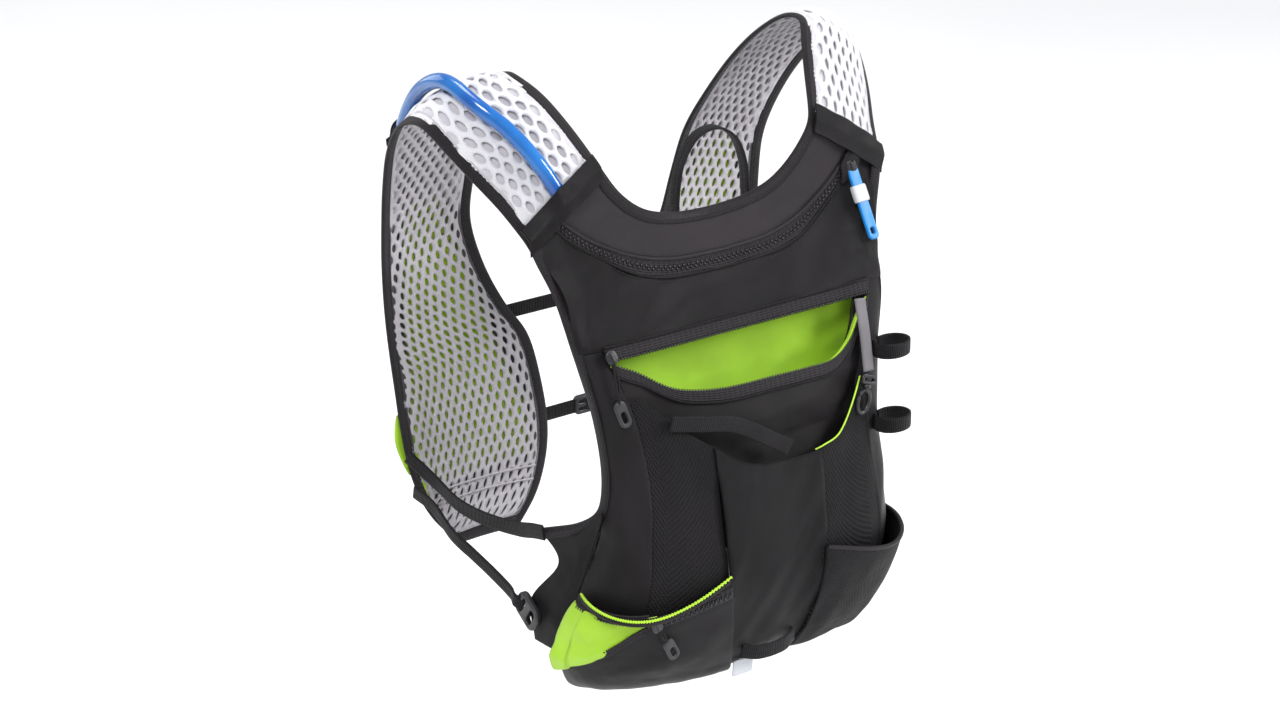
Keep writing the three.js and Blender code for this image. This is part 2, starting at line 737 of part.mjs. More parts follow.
// Stretch pocket: plain centre panel with a ribbed mesh at each side
const MOUTH_SWELL = 5; // how far the open mouth stands off
const mouth = (width) => (s, t) => MOUTH_SWELL * Math.max(1 - 2.2 * s, 0) ** 2 * width(t);
const meshStart = PANEL_HALF + 0.006;
const panelPlaces = [-PANEL_HALF, PANEL_HALF];
addMesh(
  "centre_panel",
  patch(8, 8, panelPlaces, [stretchDrop, level(BOTTOM_DROP)], 0, CLOTH, mouth(() => 1)),
  "black",
);
const rightPlaces = [meshStart, STRETCH_END];
addMesh(
  "stretch_mesh_right",
  patch(8, 8, rightPlaces, [stretchDrop, level(0.93)], -0.8, CLOTH, mouth((t) => 1 - t * t)),
  "black",
);
const leftPlaces = [-STRETCH_END, -meshStart];
addMesh(
  "stretch_mesh_left",
  patch(8, 8, leftPlaces, [stretchDrop, level(0.93)], -0.8, CLOTH, mouth((t) => 1 - (1 - t) ** 2)),
  "black",
);

// Side gussets, from the open zip's ends down to the bottom
const gussetTop = UPPER_TAPE_DROP + share(GAP);
addPair(
  "side_gusset",
  patch(10, 5, [LIP_END + 0.008, atEdge], [level(gussetTop), level(BOTTOM_DROP - 0.01)], -0.8),
  "black",
);

// Side stretch pockets, open at the top with a piped mouth
const SIDE_LIFT = 2.4;
const SIDE_SWELL = 8;
const swollen = (s, t) => SIDE_SWELL * (1 - s) ** 1.5 * (4 * t * (1 - t)) ** 0.8;
addMesh(
  "side_pocket_right",
  patch(6, 11, [PANEL_HALF, SIDE_END], [sideMouthDrop, level(BOTTOM_DROP)], SIDE_LIFT, CLOTH, swollen),
  "black",
);

// On the left the pocket ends at a second zip, which is open towards the wing
const wingZipDrop = (place) => column(WING_ZIP_LINE, "drop", "place", -place);
const wingLipDrop = (place) => column(WING_LIP_LINE, "drop", "place", -place);
addMesh(
  "side_pocket_left",
  patch(
    4,
    11,
    [-SIDE_END, -PANEL_HALF],
    [sideMouthDrop, (place) => wingZipDrop(place) - share(ZIP_WIDTH / 2 + GAP)],
    SIDE_LIFT,
    CLOTH,
    swollen,
  ),
  "black",
);
addMesh(
  "wing_zip",
  patch(
    2,
    6,
    [-WING_ZIP_END, -PANEL_HALF],
    [
      (place) => wingZipDrop(place) - share(ZIP_WIDTH / 2),
      (place) => wingZipDrop(place) + share(ZIP_WIDTH / 2),
    ],
    SIDE_LIFT + 0.6,
    ZIP_THICKNESS,
  ),
  "black",
);
addMesh(
  "wing_pocket_lower",
  patch(
    5,
    11,
    [-SIDE_END, -PANEL_HALF],
    [(place) => wingLipDrop(place) + share(ZIP_WIDTH / 2 + 6 * GAP), level(BOTTOM_DROP)],
    SIDE_LIFT,
  ),
  "black",
);

// The lime bag behind the open wing zip
const BAG_LIFT = 0.5;
addMesh(
  "wing_pocket_lining",
  patch(
    5,
    8,
    [-SIDE_END + 0.01, -WING_ZIP_END + 0.04],
    [(place) => wingZipDrop(place) - share(2), (place) => wingLipDrop(place) + share(8)],
    BAG_LIFT,
    LINING,
  ),
  "lime",
);

function wingHeight(forward) {
  return wingAt(forward, 0).z - wingAt(forward, 1).z;
}
addPair(
  "wing",
  sheet(
    5,
    4,
    (s, t, offset) => {
      const forward = between(0.14, 1, t);
      const top = (BINDING_WIDTH + 3 * GAP) / wingHeight(forward);
      return wingAt(forward, between(top, 1, s), offset);
    },
    CLOTH,
  ),
  "black",
);

// Seam bands where the straps join the pack. The left one rises over the drink tube.
const SEAM_INSET = 0.13;
const SEAM_LIFT = 0.4;
function seamBand(rise) {
  const down = new THREE.Vector3(0, -0.35, -1).normalize();
  return sheet(
    2,
    9,
    (s, t, offset) => {
      const across = between(SEAM_INSET, 1 - SEAM_INSET, t);
      const bump = rise * Math.exp(-(((across - TUBE_ACROSS) / 0.13) ** 2));
      const point = harnessAt(across, 0, SEAM_LIFT + bump + offset);
      return point.addScaledVector(down, between(-1, SEAM_WIDTH - 1, s));
    },
    CLOTH,
  );
}
addMesh("shoulder_seam_right", seamBand(0), "black");
addMesh("shoulder_seam_left", mirrored(seamBand(TUBE_DIAMETER + 4.5)), "black");

// A flat band through a table of points, with the direction of its width
const vector = (r) => new THREE.Vector3(r.x, r.y, r.z);
const webbing = (rows, width, side, thickness = WEBBING_THICKNESS, steps = 2 * rows.length) =>
  band(rows.map(vector), width, thickness, () => side, steps);
const FORWARD = new THREE.Vector3(0, 1, 0);
const UP = new THREE.Vector3(0, 0, 1);
const RIGHT = new THREE.Vector3(1, 0, 0);

// Hang loop inside the back of the neck, as places from its middle and above the neck edge
const LOOP_HALF = 27;
const LOOP_RISE = 46;
const LOOP_MIDDLE = 8;
const LOOP = [
  { along: -1, up: -0.20 },
  { along: -0.98, up: 0.15 },
  { along: -0.80, up: 0.62 },
  { along: -0.35, up: 0.94 },
  { along: 0.20, up: 1 },
  { along: 0.70, up: 0.82 },
  { along: 0.96, up: 0.45 },
  { along: 1, up: 0.10 },
  { along: 1, up: -0.20 },
];
const neckBottom = neckCurve.getPoint(0);
const LOOP_DEPTH = 6.1; // ahead of the neck edge
addMesh(
  "hang_loop",
  webbing(
    LOOP.map((r) => ({
      x: LOOP_MIDDLE + r.along * LOOP_HALF,
      y: neckBottom.y + LOOP_DEPTH + 3 * r.up,
      z: neckBottom.z + r.up * LOOP_RISE,
    })),
    WEBBING_WIDTH * 0.9,
    FORWARD,
  ),
  "black",
);

// A point that stands off the pack's skin
const off = (place, drop, lift) => skinAt(place, drop, lift);

// Key tether and its snap hook, below the right end of the open zip
const tetherTop = off(0.375, 0.418, 3.4);
const tetherEnd = off(0.465, 0.528, 4.5);
addMesh(
  "key_tether",
  band(
    [tetherTop, off(0.42, 0.47, 4.2), tetherEnd],
    WEBBING_WIDTH,
    WEBBING_THICKNESS,
    () => new THREE.Vector3(1, 0.25, 0),
    5,
  ),
  "grey",
);

function plateWithHoles(width, length, thickness, slots) {
  const corner = Math.min(width, length) * 0.3;
  const outline = new THREE.Shape();
  const [w, h] = [width / 2, length / 2];
  outline.moveTo(-w + corner, -h);
  outline.lineTo(w - corner, -h);
  outline.quadraticCurveTo(w, -h, w, -h + corner);
  outline.lineTo(w, h - corner);
  outline.quadraticCurveTo(w, h, w - corner, h);
  outline.lineTo(-w + corner, h);
  outline.quadraticCurveTo(-w, h, -w, h - corner);
  outline.lineTo(-w, -h + corner);
  outline.quadraticCurveTo(-w, -h, -w + corner, -h);
  for (const slot of slots) {
    const hole = new THREE.Path();
    hole.absellipse(0, slot.y, slot.width / 2, slot.height / 2, 0, Math.PI * 2, true);
    outline.holes.push(hole);
  }
  const settings = { depth: thickness, bevelEnabled: false, curveSegments: 2 };
  return new THREE.ExtrudeGeometry(outline, settings).translate(0, 0, -thickness / 2);
}

// Turns a plate so that its length runs from one point to another and its face looks along facing
function placed(geometry, from, to, facing) {
  const yAxis = new THREE.Vector3().subVectors(from, to).normalize();
  const xAxis = new THREE.Vector3().crossVectors(yAxis, facing).normalize();
  const zAxis = new THREE.Vector3().crossVectors(xAxis, yAxis);
  const middle = from.clone().lerp(to, 0.5);
  const matrix = new THREE.Matrix4().makeBasis(xAxis, yAxis, zAxis).setPosition(middle);
  return geometry.applyMatrix4(matrix);
}
const BACKWARD = new THREE.Vector3(0, -1, 0);
const HOOK_LENGTH = 27;
const hookTop = tetherEnd.clone().add(new THREE.Vector3(-1, -2, -GAP - 1));
const HOOK_WAY = new THREE.Vector3(-0.34, -0.11, -0.93);
const hookEnd = hookTop.clone().addScaledVector(HOOK_WAY, HOOK_LENGTH);
addMesh(
  "key_hook",
  placed(
    plateWithHoles(HOOK_WIDTH, HOOK_LENGTH, HOOK_WIRE, [
      { y: HOOK_LENGTH * 0.33, width: HOOK_WIDTH - 2 * HOOK_WIRE, height: 4 },
      { y: -HOOK_LENGTH * 0.15, width: HOOK_WIDTH - 2 * HOOK_WIRE, height: 11 },
    ]),
    hookTop,
    hookEnd,
    BACKWARD,
  ),
  "plastic",
);

// Pull of the closed zip, at the right shoulder, with its grey sleeve
const pullTop = off(0.587, 0.224, 2.6);
const pullEnd = off(0.656, 0.345, 8);
const pullAt = (share) => pullTop.clone().lerp(pullEnd, share);
addMesh(
  "reservoir_pull",
  placed(plateWithHoles(PULL_WIDTH, pullTop.distanceTo(pullEnd), 2.2, []), pullTop, pullEnd, BACKWARD),
  "blue",
);
const sleeve = new THREE.Shape();
const SLEEVE_WALL = 1.1;
const SLEEVE_LENGTH = 8;
const [sleeveX, sleeveY] = [PULL_WIDTH / 2 + GAP + SLEEVE_WALL, 1.1 + GAP + SLEEVE_WALL];
sleeve.moveTo(-sleeveX, -sleeveY);
sleeve.lineTo(sleeveX, -sleeveY);
sleeve.lineTo(sleeveX, sleeveY);
sleeve.lineTo(-sleeveX, sleeveY);
const sleeveHole = new THREE.Path();
sleeveHole.moveTo(-sleeveX + SLEEVE_WALL, -sleeveY + SLEEVE_WALL);
sleeveHole.lineTo(-sleeveX + SLEEVE_WALL, sleeveY - SLEEVE_WALL);
sleeveHole.lineTo(sleeveX - SLEEVE_WALL, sleeveY - SLEEVE_WALL);
sleeveHole.lineTo(sleeveX - SLEEVE_WALL, -sleeveY + SLEEVE_WALL);
sleeve.holes.push(sleeveHole);
const sleeveSolid = new THREE.ExtrudeGeometry(sleeve, { depth: SLEEVE_LENGTH, bevelEnabled: false });
sleeveSolid.translate(0, 0, -SLEEVE_LENGTH / 2).rotateX(-Math.PI / 2);
addMesh("pull_sleeve", placed(sleeveSolid, pullAt(0.3), pullAt(0.5), BACKWARD), "silver");

// Sliders and pulls of the two open zips
const SLIDER_WIDTH = 7;
const SLIDER_LENGTH = 9;
const SLIDER_THICKNESS = 3;
const RING_WIDTH = 8;
const RING_LENGTH = 17;
const RING_THICKNESS = 2.4;
function addSlider(name, from, to) {
  const plate = plateWithHoles(SLIDER_WIDTH, SLIDER_LENGTH, SLIDER_THICKNESS, []);
  addMesh(name, placed(plate, from, to, BACKWARD), "plastic", 0.5);
}
function addPull(name, from, to) {
  const slot = { y: -RING_LENGTH * 0.12, width: RING_WIDTH - 4.6, height: 8 };
  const plate = plateWithHoles(RING_WIDTH, RING_LENGTH, RING_THICKNESS, [slot]);
  addMesh(name, placed(plate, from, to, BACKWARD), "plastic", 0.5);
}
addSlider("zip_slider", off(-0.485, 0.396, 3.4), off(-0.48, 0.420, 3.4));
addPull("zip_pull", off(-0.60, 0.470, 2.5), off(-0.59, 0.515, 2.5));
addPull("wing_pull", off(-0.40, 0.862, 6), off(-0.35, 0.900, 6));

// Elastic band across the mouth of the stretch pocket
addMesh(
  "compression_band",
  band(
    [off(-0.30, 0.520, 6.5), off(-0.15, 0.532, 7.6), off(-0.05, 0.545, 7.6), off(0.02, 0.605, 6.8)],
    WEBBING_WIDTH,
    WEBBING_THICKNESS,
    () => UP,
    8,
  ),
  "black",
);

// Two elastic loops at the right side that hold a slim bottle or a pole
const FLASK_RADIUS = 11;
function flaskLoop(drop) {
  const middle = off(0.70, drop, FLASK_RADIUS * 0.891 + 0.5);
  const points = Array.from({ length: 9 }, (_, i) => {
    const angle = between(0.15, 1.85, i / 8) * Math.PI;
    const across = off(0.74, drop, 0).sub(off(0.66, drop, 0)).normalize();
    const out = off(0.70, drop, 1).sub(off(0.70, drop, 0)).normalize();
    return middle
      .clone()
      .addScaledVector(out, -FLASK_RADIUS * Math.cos(angle))
      .addScaledVector(across, FLASK_RADIUS * Math.sin(angle));
  });
  return band(points, WEBBING_WIDTH, WEBBING_THICKNESS, () => UP, 12);
}
addMesh("flask_loop_upper", flaskLoop(0.50), "black");
addMesh("flask_loop_lower", flaskLoop(0.62), "black");

// Loop for a small lamp and the reflective tab at the bottom
addMesh(
  "light_loop",
  band(
    [off(-0.07, 0.935, 3), off(-0.03, 0.935, 6), off(0.03, 0.935, 6), off(0.07, 0.935, 3)],
    WEBBING_WIDTH,
    WEBBING_THICKNESS,
    () => UP,
    6,
  ),
  "black",
);
const TAB_DROP = 11;
const tabTop = off(-0.06, 0.957, 1.2);
addMesh(
  "reflective_tab",
  band(
    [tabTop, tabTop.clone().add(new THREE.Vector3(0, 1, -TAB_DROP))],
    WEBBING_WIDTH * 1.6,
    WEBBING_THICKNESS,
    () => RIGHT,
    2,
  ),
  "silver",
);

// Drink tube, from under the left seam band over the shoulder and down the front panel
const TUBE = [
  { across: 0.50, along: 0.012, lift: 0 },
  { across: 0.50, along: 0.055, lift: 0.5 },
  { across: 0.50, along: 0.118, lift: 1 },
  { across: 0.53, along: 0.176, lift: 1 },
  { across: 0.60, along: 0.235, lift: 1 },
  { across: 0.66, along: 0.294, lift: 1 },
  { across: 0.70, along: 0.353, lift: 1 },
  { across: 0.70, along: 0.412, lift: 1 },
  { across: 0.68, along: 0.471, lift: 2 },
  { across: 0.66, along: 0.529, lift: 7 },
  { across: 0.64, along: 0.588, lift: 11 },
  { across: 0.60, along: 0.647, lift: 12 },
];
const TUBE_SEAT = CORE_THICKNESS / 2 + LAYER_GAP + MESH_THICKNESS + GAP + TUBE_DIAMETER / 2;
const tubePoint = (r) => {
  const point = harnessAt(r.across, r.along, TUBE_SEAT + r.lift);
  point.x *= -1;
  return point;
};
function rod(points, radius, sides, steps) {
  const outline = new THREE.Shape();
  for (let k = 0; k < sides; k += 1) {
    const angle = (2 * Math.PI * k) / sides;
    const [x, y] = [radius * Math.cos(angle), radius * Math.sin(angle)];
    if (k === 0) outline.moveTo(x, y);
    else outline.lineTo(x, y);
  }
  const extrudePath = new THREE.CatmullRomCurve3(points);
  return new THREE.ExtrudeGeometry(outline, { extrudePath, steps });
}
const tubePoints = TUBE.map(tubePoint);
addMesh("drink_tube", rod(tubePoints, TUBE_DIAMETER / 2, 8, 23), "tube", 0.2);

// Bite valve at the tube's end: a collar, a waist and a flat mouth
const VALVE_LENGTH = 42;
const VALVE = [
  { share: 0, radius: 0 },
  { share: 0, radius: 7 },
  { share: 0.3, radius: 7.5 },
  { share: 0.42, radius: 6 },
  { share: 0.9, radius: 9 },
  { share: 1, radius: 7 },
  { share: 1, radius: 0 },
];
const tubeEnd = tubePoints[tubePoints.length - 1];
const tubeWay = tubeEnd.clone().sub(tubePoints[tubePoints.length - 2]).normalize();
const valve = new THREE.LatheGeometry(
  VALVE.map((r) => new THREE.Vector2(r.radius, r.share * VALVE_LENGTH)),
  10,
);
valve.applyQuaternion(new THREE.Quaternion().setFromUnitVectors(new THREE.Vector3(0, 1, 0), tubeWay));
const valveStart = tubeEnd.clone().addScaledVector(tubeWay, GAP);
addMesh("bite_valve", valve.translate(valveStart.x, valveStart.y, valveStart.z), "blue", 0.4);

// Keepers that hold the tube on the strap and on the panel
function keeper(along, across, lift) {
  const width = harnessWidth(along);
  const reach = TUBE_DIAMETER / 2 + GAP + WEBBING_THICKNESS;
  const points = [-1.9, -1.25, -0.8, 0, 0.8, 1.25, 1.9].map((k) => {
    const top = TUBE_SEAT + lift + reach * Math.sqrt(Math.max(1 - (k / 1.25) ** 2, 0)) * 1.03;
    const base = CORE_THICKNESS / 2 + LAYER_GAP + MESH_THICKNESS + GAP + 1.2 + Math.max(lift - 1, 0);
    const point = harnessAt(across + (k * reach) / width, along, Math.max(top, base));
    point.x *= -1;
    return point;
  });
  const way = tubePoint({ along: along + 0.02, across, lift }).sub(tubePoint({ along, across, lift }));
  return band(points, WEBBING_WIDTH * 0.8, WEBBING_THICKNESS * 0.8, () => way, 8);
}
addMesh("tube_keeper_upper", keeper(0.375, 0.70, 1), "black");
addMesh("tube_keeper_lower", keeper(0.600, 0.635, 11), "black");

// Sternum straps, sewn on the outer face of both panels' neck edges
function sternumStrap(along) {
  const over = (0.6 * BINDING_WIDTH) / harnessWidth(along);
  const lift = BINDING_THICKNESS / 2 + 3 * GAP + WEBBING_THICKNESS / 2;
  const end = harnessAt(over, along, lift);
  const edge = harnessAt(0, along, lift);
  const middle = new THREE.Vector3(0, edge.y + 2, edge.z);
  const flip = (v) => new THREE.Vector3(-v.x, v.y, v.z);
  return band([end, edge, middle, flip(edge), flip(end)], WEBBING_WIDTH, WEBBING_THICKNESS, () => UP, 8);
}
const STERNUM_UPPER = 0.665;
const STERNUM_LOWER = 0.815;
addMesh("sternum_strap_upper", sternumStrap(STERNUM_UPPER), "black");
addMesh("sternum_strap_lower", sternumStrap(STERNUM_LOWER), "black");

// Straps from the front panels round the sides to the wings
const SIDE_UPPER = [
  { x: 0.862, y: 0.880, z: -0.683 },
  { x: 0.804, y: 0.640, z: -0.725 },
  { x: 0.800, y: 0.405, z: -0.742 },
  { x: 0.782, y: 0.162, z: -0.744 },
  { x: 0.757, y: -0.110, z: -0.735 },
  { x: 0.752, y: -0.255, z: -0.720 },
];
const SIDE_LOWER = [
  { x: 0.830, y: 0.870, z: -0.755 },
  { x: 0.818, y: 0.640, z: -0.768 },
  { x: 0.824, y: 0.415, z: -0.795 },
  { x: 0.806, y: 0.250, z: -0.813 },
  { x: 0.791, y: 0.072, z: -0.831 },
  { x: 0.765, y: -0.080, z: -0.848 },
];
const sideStrap = (rows, width) =>
  webbing(
    rows.map((r) => ({ x: r.x * SHOULDER_HALF, y: r.y * CHEST_REACH, z: r.z * VEST_HEIGHT })),
    width,
    UP,
    WEBBING_THICKNESS,
    10,
  );
addPair("side_strap_upper", sideStrap(SIDE_UPPER, WEBBING_WIDTH), "black");
addPair("side_strap_lower", sideStrap(SIDE_LOWER, WEBBING_WIDTH * 0.9), "black");
const lockTop = new THREE.Vector3(0.765 * SHOULDER_HALF, -0.13 * CHEST_REACH, -0.852 * VEST_HEIGHT);
const LOCK_WAY = new THREE.Vector3(0, -0.83, -0.55);
const lockEnd = lockTop.clone().addScaledVector(LOCK_WAY, BUCKLE_LENGTH * 0.9);
const ladderLock = placed(
  plateWithHoles(BUCKLE_WIDTH, BUCKLE_LENGTH, BUCKLE_THICKNESS, [
    { y: BUCKLE_LENGTH * 0.22, width: BUCKLE_WIDTH - 7, height: 4 },
    { y: -BUCKLE_LENGTH * 0.2, width: BUCKLE_WIDTH - 7, height: 6 },
  ]),
  lockTop,
  lockEnd,
  RIGHT,
);
addPair("ladder_lock", ladderLock, "plastic", 0.5);

export default part;
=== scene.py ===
"""A running hydration vest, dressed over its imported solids. Lengths here are in millimetres."""

import math

import bpy
import numpy as np
from mathutils import Matrix, Vector


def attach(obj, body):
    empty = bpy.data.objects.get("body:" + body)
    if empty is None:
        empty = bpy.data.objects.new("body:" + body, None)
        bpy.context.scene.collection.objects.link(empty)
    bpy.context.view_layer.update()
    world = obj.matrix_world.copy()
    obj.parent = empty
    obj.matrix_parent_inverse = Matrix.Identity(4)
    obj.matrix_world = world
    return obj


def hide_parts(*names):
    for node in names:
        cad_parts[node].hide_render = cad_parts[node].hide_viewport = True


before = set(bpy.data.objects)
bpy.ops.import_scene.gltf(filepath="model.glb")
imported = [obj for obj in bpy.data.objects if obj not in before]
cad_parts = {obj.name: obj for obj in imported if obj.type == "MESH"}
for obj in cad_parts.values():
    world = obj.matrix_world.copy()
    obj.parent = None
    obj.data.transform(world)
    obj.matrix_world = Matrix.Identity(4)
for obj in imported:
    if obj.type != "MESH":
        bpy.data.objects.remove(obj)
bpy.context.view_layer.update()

MM = 0.001
SHOULDER_HALF = 165.0
VEST_HEIGHT = 386.0
CHEST_REACH = 111.0
BACK_REACH = 112.0
BINDING_WIDTH = 8.0
BINDING_THICKNESS = 3.2
GAP = 0.35
CORE_THICKNESS = 1.6
LAYER_GAP = 1.4
MESH_THICKNESS = 2.0
TUBE_DIAMETER = 9.5

# Tables of the form, with lengths as shares of the sizes above. Harness: neck x y z, arm x y z, and its crown
# in millimetres
HARNESS = np.array([
    (0.479, -0.333, -0.135, 0.812, -0.360, -0.231, 2),
    (0.533, -0.180, -0.078, 0.861, -0.198, -0.181, 4),
    (0.594, -0.027, -0.028, 0.909, -0.072, -0.145, 5),
    (0.642, 0.081, -0.005, 0.958, 0.090, -0.104, 6),
    (0.630, 0.198, -0.008, 0.994, 0.270, -0.070, 6),
    (0.600, 0.360, -0.039, 0.994, 0.468, -0.088, 6),
    (0.570, 0.541, -0.091, 0.964, 0.667, -0.145, 6),
    (0.533, 0.721, -0.163, 0.927, 0.811, -0.218, 6),
    (0.497, 0.874, -0.241, 0.903, 0.892, -0.285, 6),
    (0.479, 0.964, -0.321, 0.897, 0.919, -0.363, 6),
    (0.418, 0.973, -0.407, 0.891, 0.919, -0.446, 6),
    (0.309, 0.991, -0.492, 0.879, 0.910, -0.518, 7),
    (0.206, 1.000, -0.554, 0.867, 0.892, -0.583, 8),
    (0.152, 0.991, -0.637, 0.855, 0.874, -0.648, 8),
    (0.127, 0.973, -0.725, 0.830, 0.847, -0.725, 8),
    (0.145, 0.955, -0.782, 0.782, 0.829, -0.788, 7),
    (0.206, 0.928, -0.842, 0.715, 0.820, -0.834, 5),
    (0.315, 0.892, -0.891, 0.606, 0.838, -0.881, 2),
])
NECK = np.array([
    (0, -0.315, -0.241),
    (0.152, -0.322, -0.236),
    (0.291, -0.330, -0.218),
    (0.400, -0.333, -0.181),
    (0.479, -0.333, -0.135),
])
# Pack skin: drop, half width, depth at the sides, depth in the middle, squareness
PACK = np.array([
    (0.180, 0.812, 0.345, 0.320, 2.2),
    (0.231, 0.812, 0.360, 0.335, 2.2),
    (0.308, 0.748, 0.440, 0.445, 2.6),
    (0.394, 0.709, 0.520, 0.625, 4.6),
    (0.505, 0.648, 0.590, 0.785, 3.8),
    (0.622, 0.624, 0.625, 0.880, 3.4),
    (0.720, 0.655, 0.580, 0.965, 3.2),
    (0.800, 0.690, 0.530, 1.000, 3.0),
    (0.881, 0.712, 0.430, 0.965, 2.7),
    (0.945, 0.700, 0.385, 0.885, 2.4),
    (0.980, 0.660, 0.370, 0.750, 2.2),
    (1.000, 0.600, 0.350, 0.380, 2.0),
])
# Lines across the skin: place, drop
RESERVOIR_LINE = np.array([(0, 0.316), (0.144, 0.311), (0.296, 0.293), (0.437, 0.262), (0.560, 0.226),
                           (0.640, 0.205), (1, 0.241)])
LIP_LINE = np.array([(-0.505, 0.416), (-0.420, 0.426), (-0.322, 0.440), (-0.196, 0.472), (-0.083, 0.487),
                     (0, 0.494), (0.083, 0.496), (0.220, 0.494), (0.326, 0.472), (0.400, 0.440),
                     (0.505, 0.416)])
STRETCH_LINE = np.array([(-0.400, 0.478), (-0.216, 0.541), (-0.115, 0.575), (-0.050, 0.604), (0, 0.621),
                         (0.060, 0.625), (0.137, 0.621), (0.234, 0.607), (0.400, 0.535)])
SIDE_MOUTH_LINE = np.array([(0.12, 0.782), (0.30, 0.803), (0.486, 0.816), (0.665, 0.815), (1, 0.800)])
WING_ZIP_LINE = np.array([(0.12, 0.808), (0.50, 0.834), (1, 0.826)])
WING_LIP_LINE = np.array([(0.12, 0.808), (0.50, 0.836), (0.70, 0.884), (1, 0.935)])
# Wing: row, drop, back x, back y, front x, front y, front drop
WING = np.array([
    (0, 0.676, 0.655, -0.640, 0.733, -0.268, 0.718),
    (1 / 3, 0.760, 0.668, -0.560, 0.705, -0.390, 0.768),
    (2 / 3, 0.842, 0.697, -0.470, 0.748, -0.215, 0.845),
    (1, 0.925, 0.715, -0.380, 0.735, -0.215, 0.920),
])
# Where panels end: drops are shares of the height, and the others are places across the skin
UPPER_TAPE_DROP = 0.394
PANEL_HALF = 0.12
LIP_END = 0.505
SIDE_END = 0.97
WING_ZIP_END = 0.50
BOTTOM_DROP = 0.995
EDGE_END_DROP = 0.668
YOKE_END = 0.64


def column(rows, key, along, value):
    """A smooth value from a table's column at a place along another column."""
    value = np.asarray(value, float)
    axis = rows[:, along]
    last = len(rows) - 1
    i = np.clip(np.searchsorted(axis, value, side="left") - 1, 0, last - 1)
    before, after = np.maximum(i - 1, 0), np.minimum(i + 2, last)
    span = axis[i + 1] - axis[i]
    t = np.clip((value - axis[i]) / span, 0, 1)
    k = rows[:, key]
    slope_from = (k[i + 1] - k[before]) / (axis[i + 1] - axis[before]) * span
    slope_to = (k[after] - k[i]) / (axis[after] - axis[i]) * span
    t2, t3 = t * t, t * t * t
    return ((2 * t3 - 3 * t2 + 1) * k[i] + (t3 - 2 * t2 + t) * slope_from + (3 * t2 - 2 * t3) * k[i + 1]
            + (t3 - t2) * slope_to)


def run_of(points):
    """The length run along a line at each of its points."""
    return np.concatenate([[0], np.cumsum(np.linalg.norm(np.diff(points, axis=0), axis=-1))])


def read_run(rows, run, at):
    """The rows' values at other lengths of their run."""
    return np.stack([np.interp(at, run, rows[:, k]) for k in range(rows.shape[1])], -1)


def unit(v):
    return v / np.maximum(np.linalg.norm(v, axis=-1, keepdims=True), 1e-12)


class Rail:
    """A centripetal curve through points, read at shares of its length in points."""

    def __init__(self, points):
        self.p = np.array(points, float)

    def at(self, share):
        p = self.p
        last = len(p) - 1
        place = np.clip(np.asarray(share, float), 0, 1) * last
        i = np.minimum(np.floor(place).astype(int), last - 1)
        w = (place - i)[..., None]
        a, b = p[i], p[i + 1]
        before = np.where((i > 0)[..., None], p[np.maximum(i - 1, 0)], 2 * p[0] - p[1])
        after = np.where((i + 2 <= last)[..., None], p[np.minimum(i + 2, last)], 2 * p[last] - p[last - 1])
        d0, d1, d2 = (np.sqrt(np.linalg.norm(n - m, axis=-1, keepdims=True)) for m, n in
                      ((before, a), (a, b), (b, after)))
        from_slope = ((a - before) / d0 - (b - before) / (d0 + d1) + (b - a) / d1) * d1
        to_slope = ((b - a) / d1 - (after - a) / (d1 + d2) + (after - b) / d2) * d1
        w2, w3 = w * w, w * w * w
        return ((2 * w3 - 3 * w2 + 1) * a + (w3 - 2 * w2 + w) * from_slope + (3 * w2 - 2 * w3) * b
                + (w3 - w2) * to_slope)


REACH = np.array([SHOULDER_HALF, CHEST_REACH, VEST_HEIGHT])
neck_rail = Rail(HARNESS[:, 0:3] * REACH)
arm_rail = Rail(HARNESS[:, 3:6] * REACH)
neck_curve = Rail(NECK * REACH)
crown_table = np.column_stack([np.linspace(0, 1, len(HARNESS)), HARNESS[:, 6]])


def normal_of(surface, u, v, step=0.004):
    """A surface's normal from small steps along u and v, kept inside its ends."""
    u0, u1 = np.maximum(u - step, -1), np.minimum(u + step, 1)
    v0, v1 = np.maximum(v - step, 0), np.minimum(v + step, 1)
    return unit(np.cross(surface(u1, v) - surface(u0, v), surface(u, v1) - surface(u, v0)))


def harness_base(across, along):
    """The harness without its crown, straight from the neck edge to the arm edge."""
    a = np.asarray(across, float)[..., None]
    return neck_rail.at(along) * (1 - a) + arm_rail.at(along) * a


def harness_at(across, along, lift=0.0):
    """The harness from the neck edge to the arm edge, and from the seam to the bottom."""
    across, along = np.broadcast_arrays(np.asarray(across, float), np.asarray(along, float))
    crown = column(crown_table, 1, 0, along) * 4 * across * (1 - across)
    normal = normal_of(harness_base, across, along)
    return harness_base(across, along) + normal * (crown + lift)[..., None]


def harness_width(along):
    return np.linalg.norm(neck_rail.at(along) - arm_rail.at(along), axis=-1)


def skin_base(place, drop):
    """The pack's section at a drop: a squared arc from one side to the other."""
    width = column(PACK, 1, 0, drop) * SHOULDER_HALF
    side = column(PACK, 2, 0, drop) * BACK_REACH
    middle = column(PACK, 3, 0, drop) * BACK_REACH
    power = 2 / column(PACK, 4, 0, drop)
    angle = place * math.pi / 2
    x = width * np.sign(place) * np.abs(np.sin(angle)) ** power
    y = -side - (middle - side) * np.maximum(np.cos(angle), 0) ** power
    return np.stack(np.broadcast_arrays(x, y, -drop * VEST_HEIGHT), -1)


def skin_normal(place, drop):
    step = 0.006
    inside = np.clip(place, -0.985, 0.985)
    along_place = skin_base(inside + step, drop) - skin_base(inside - step, drop)
    along_drop = skin_base(inside, drop + step) - skin_base(inside, drop - step)
    return unit(np.cross(along_drop, along_place))


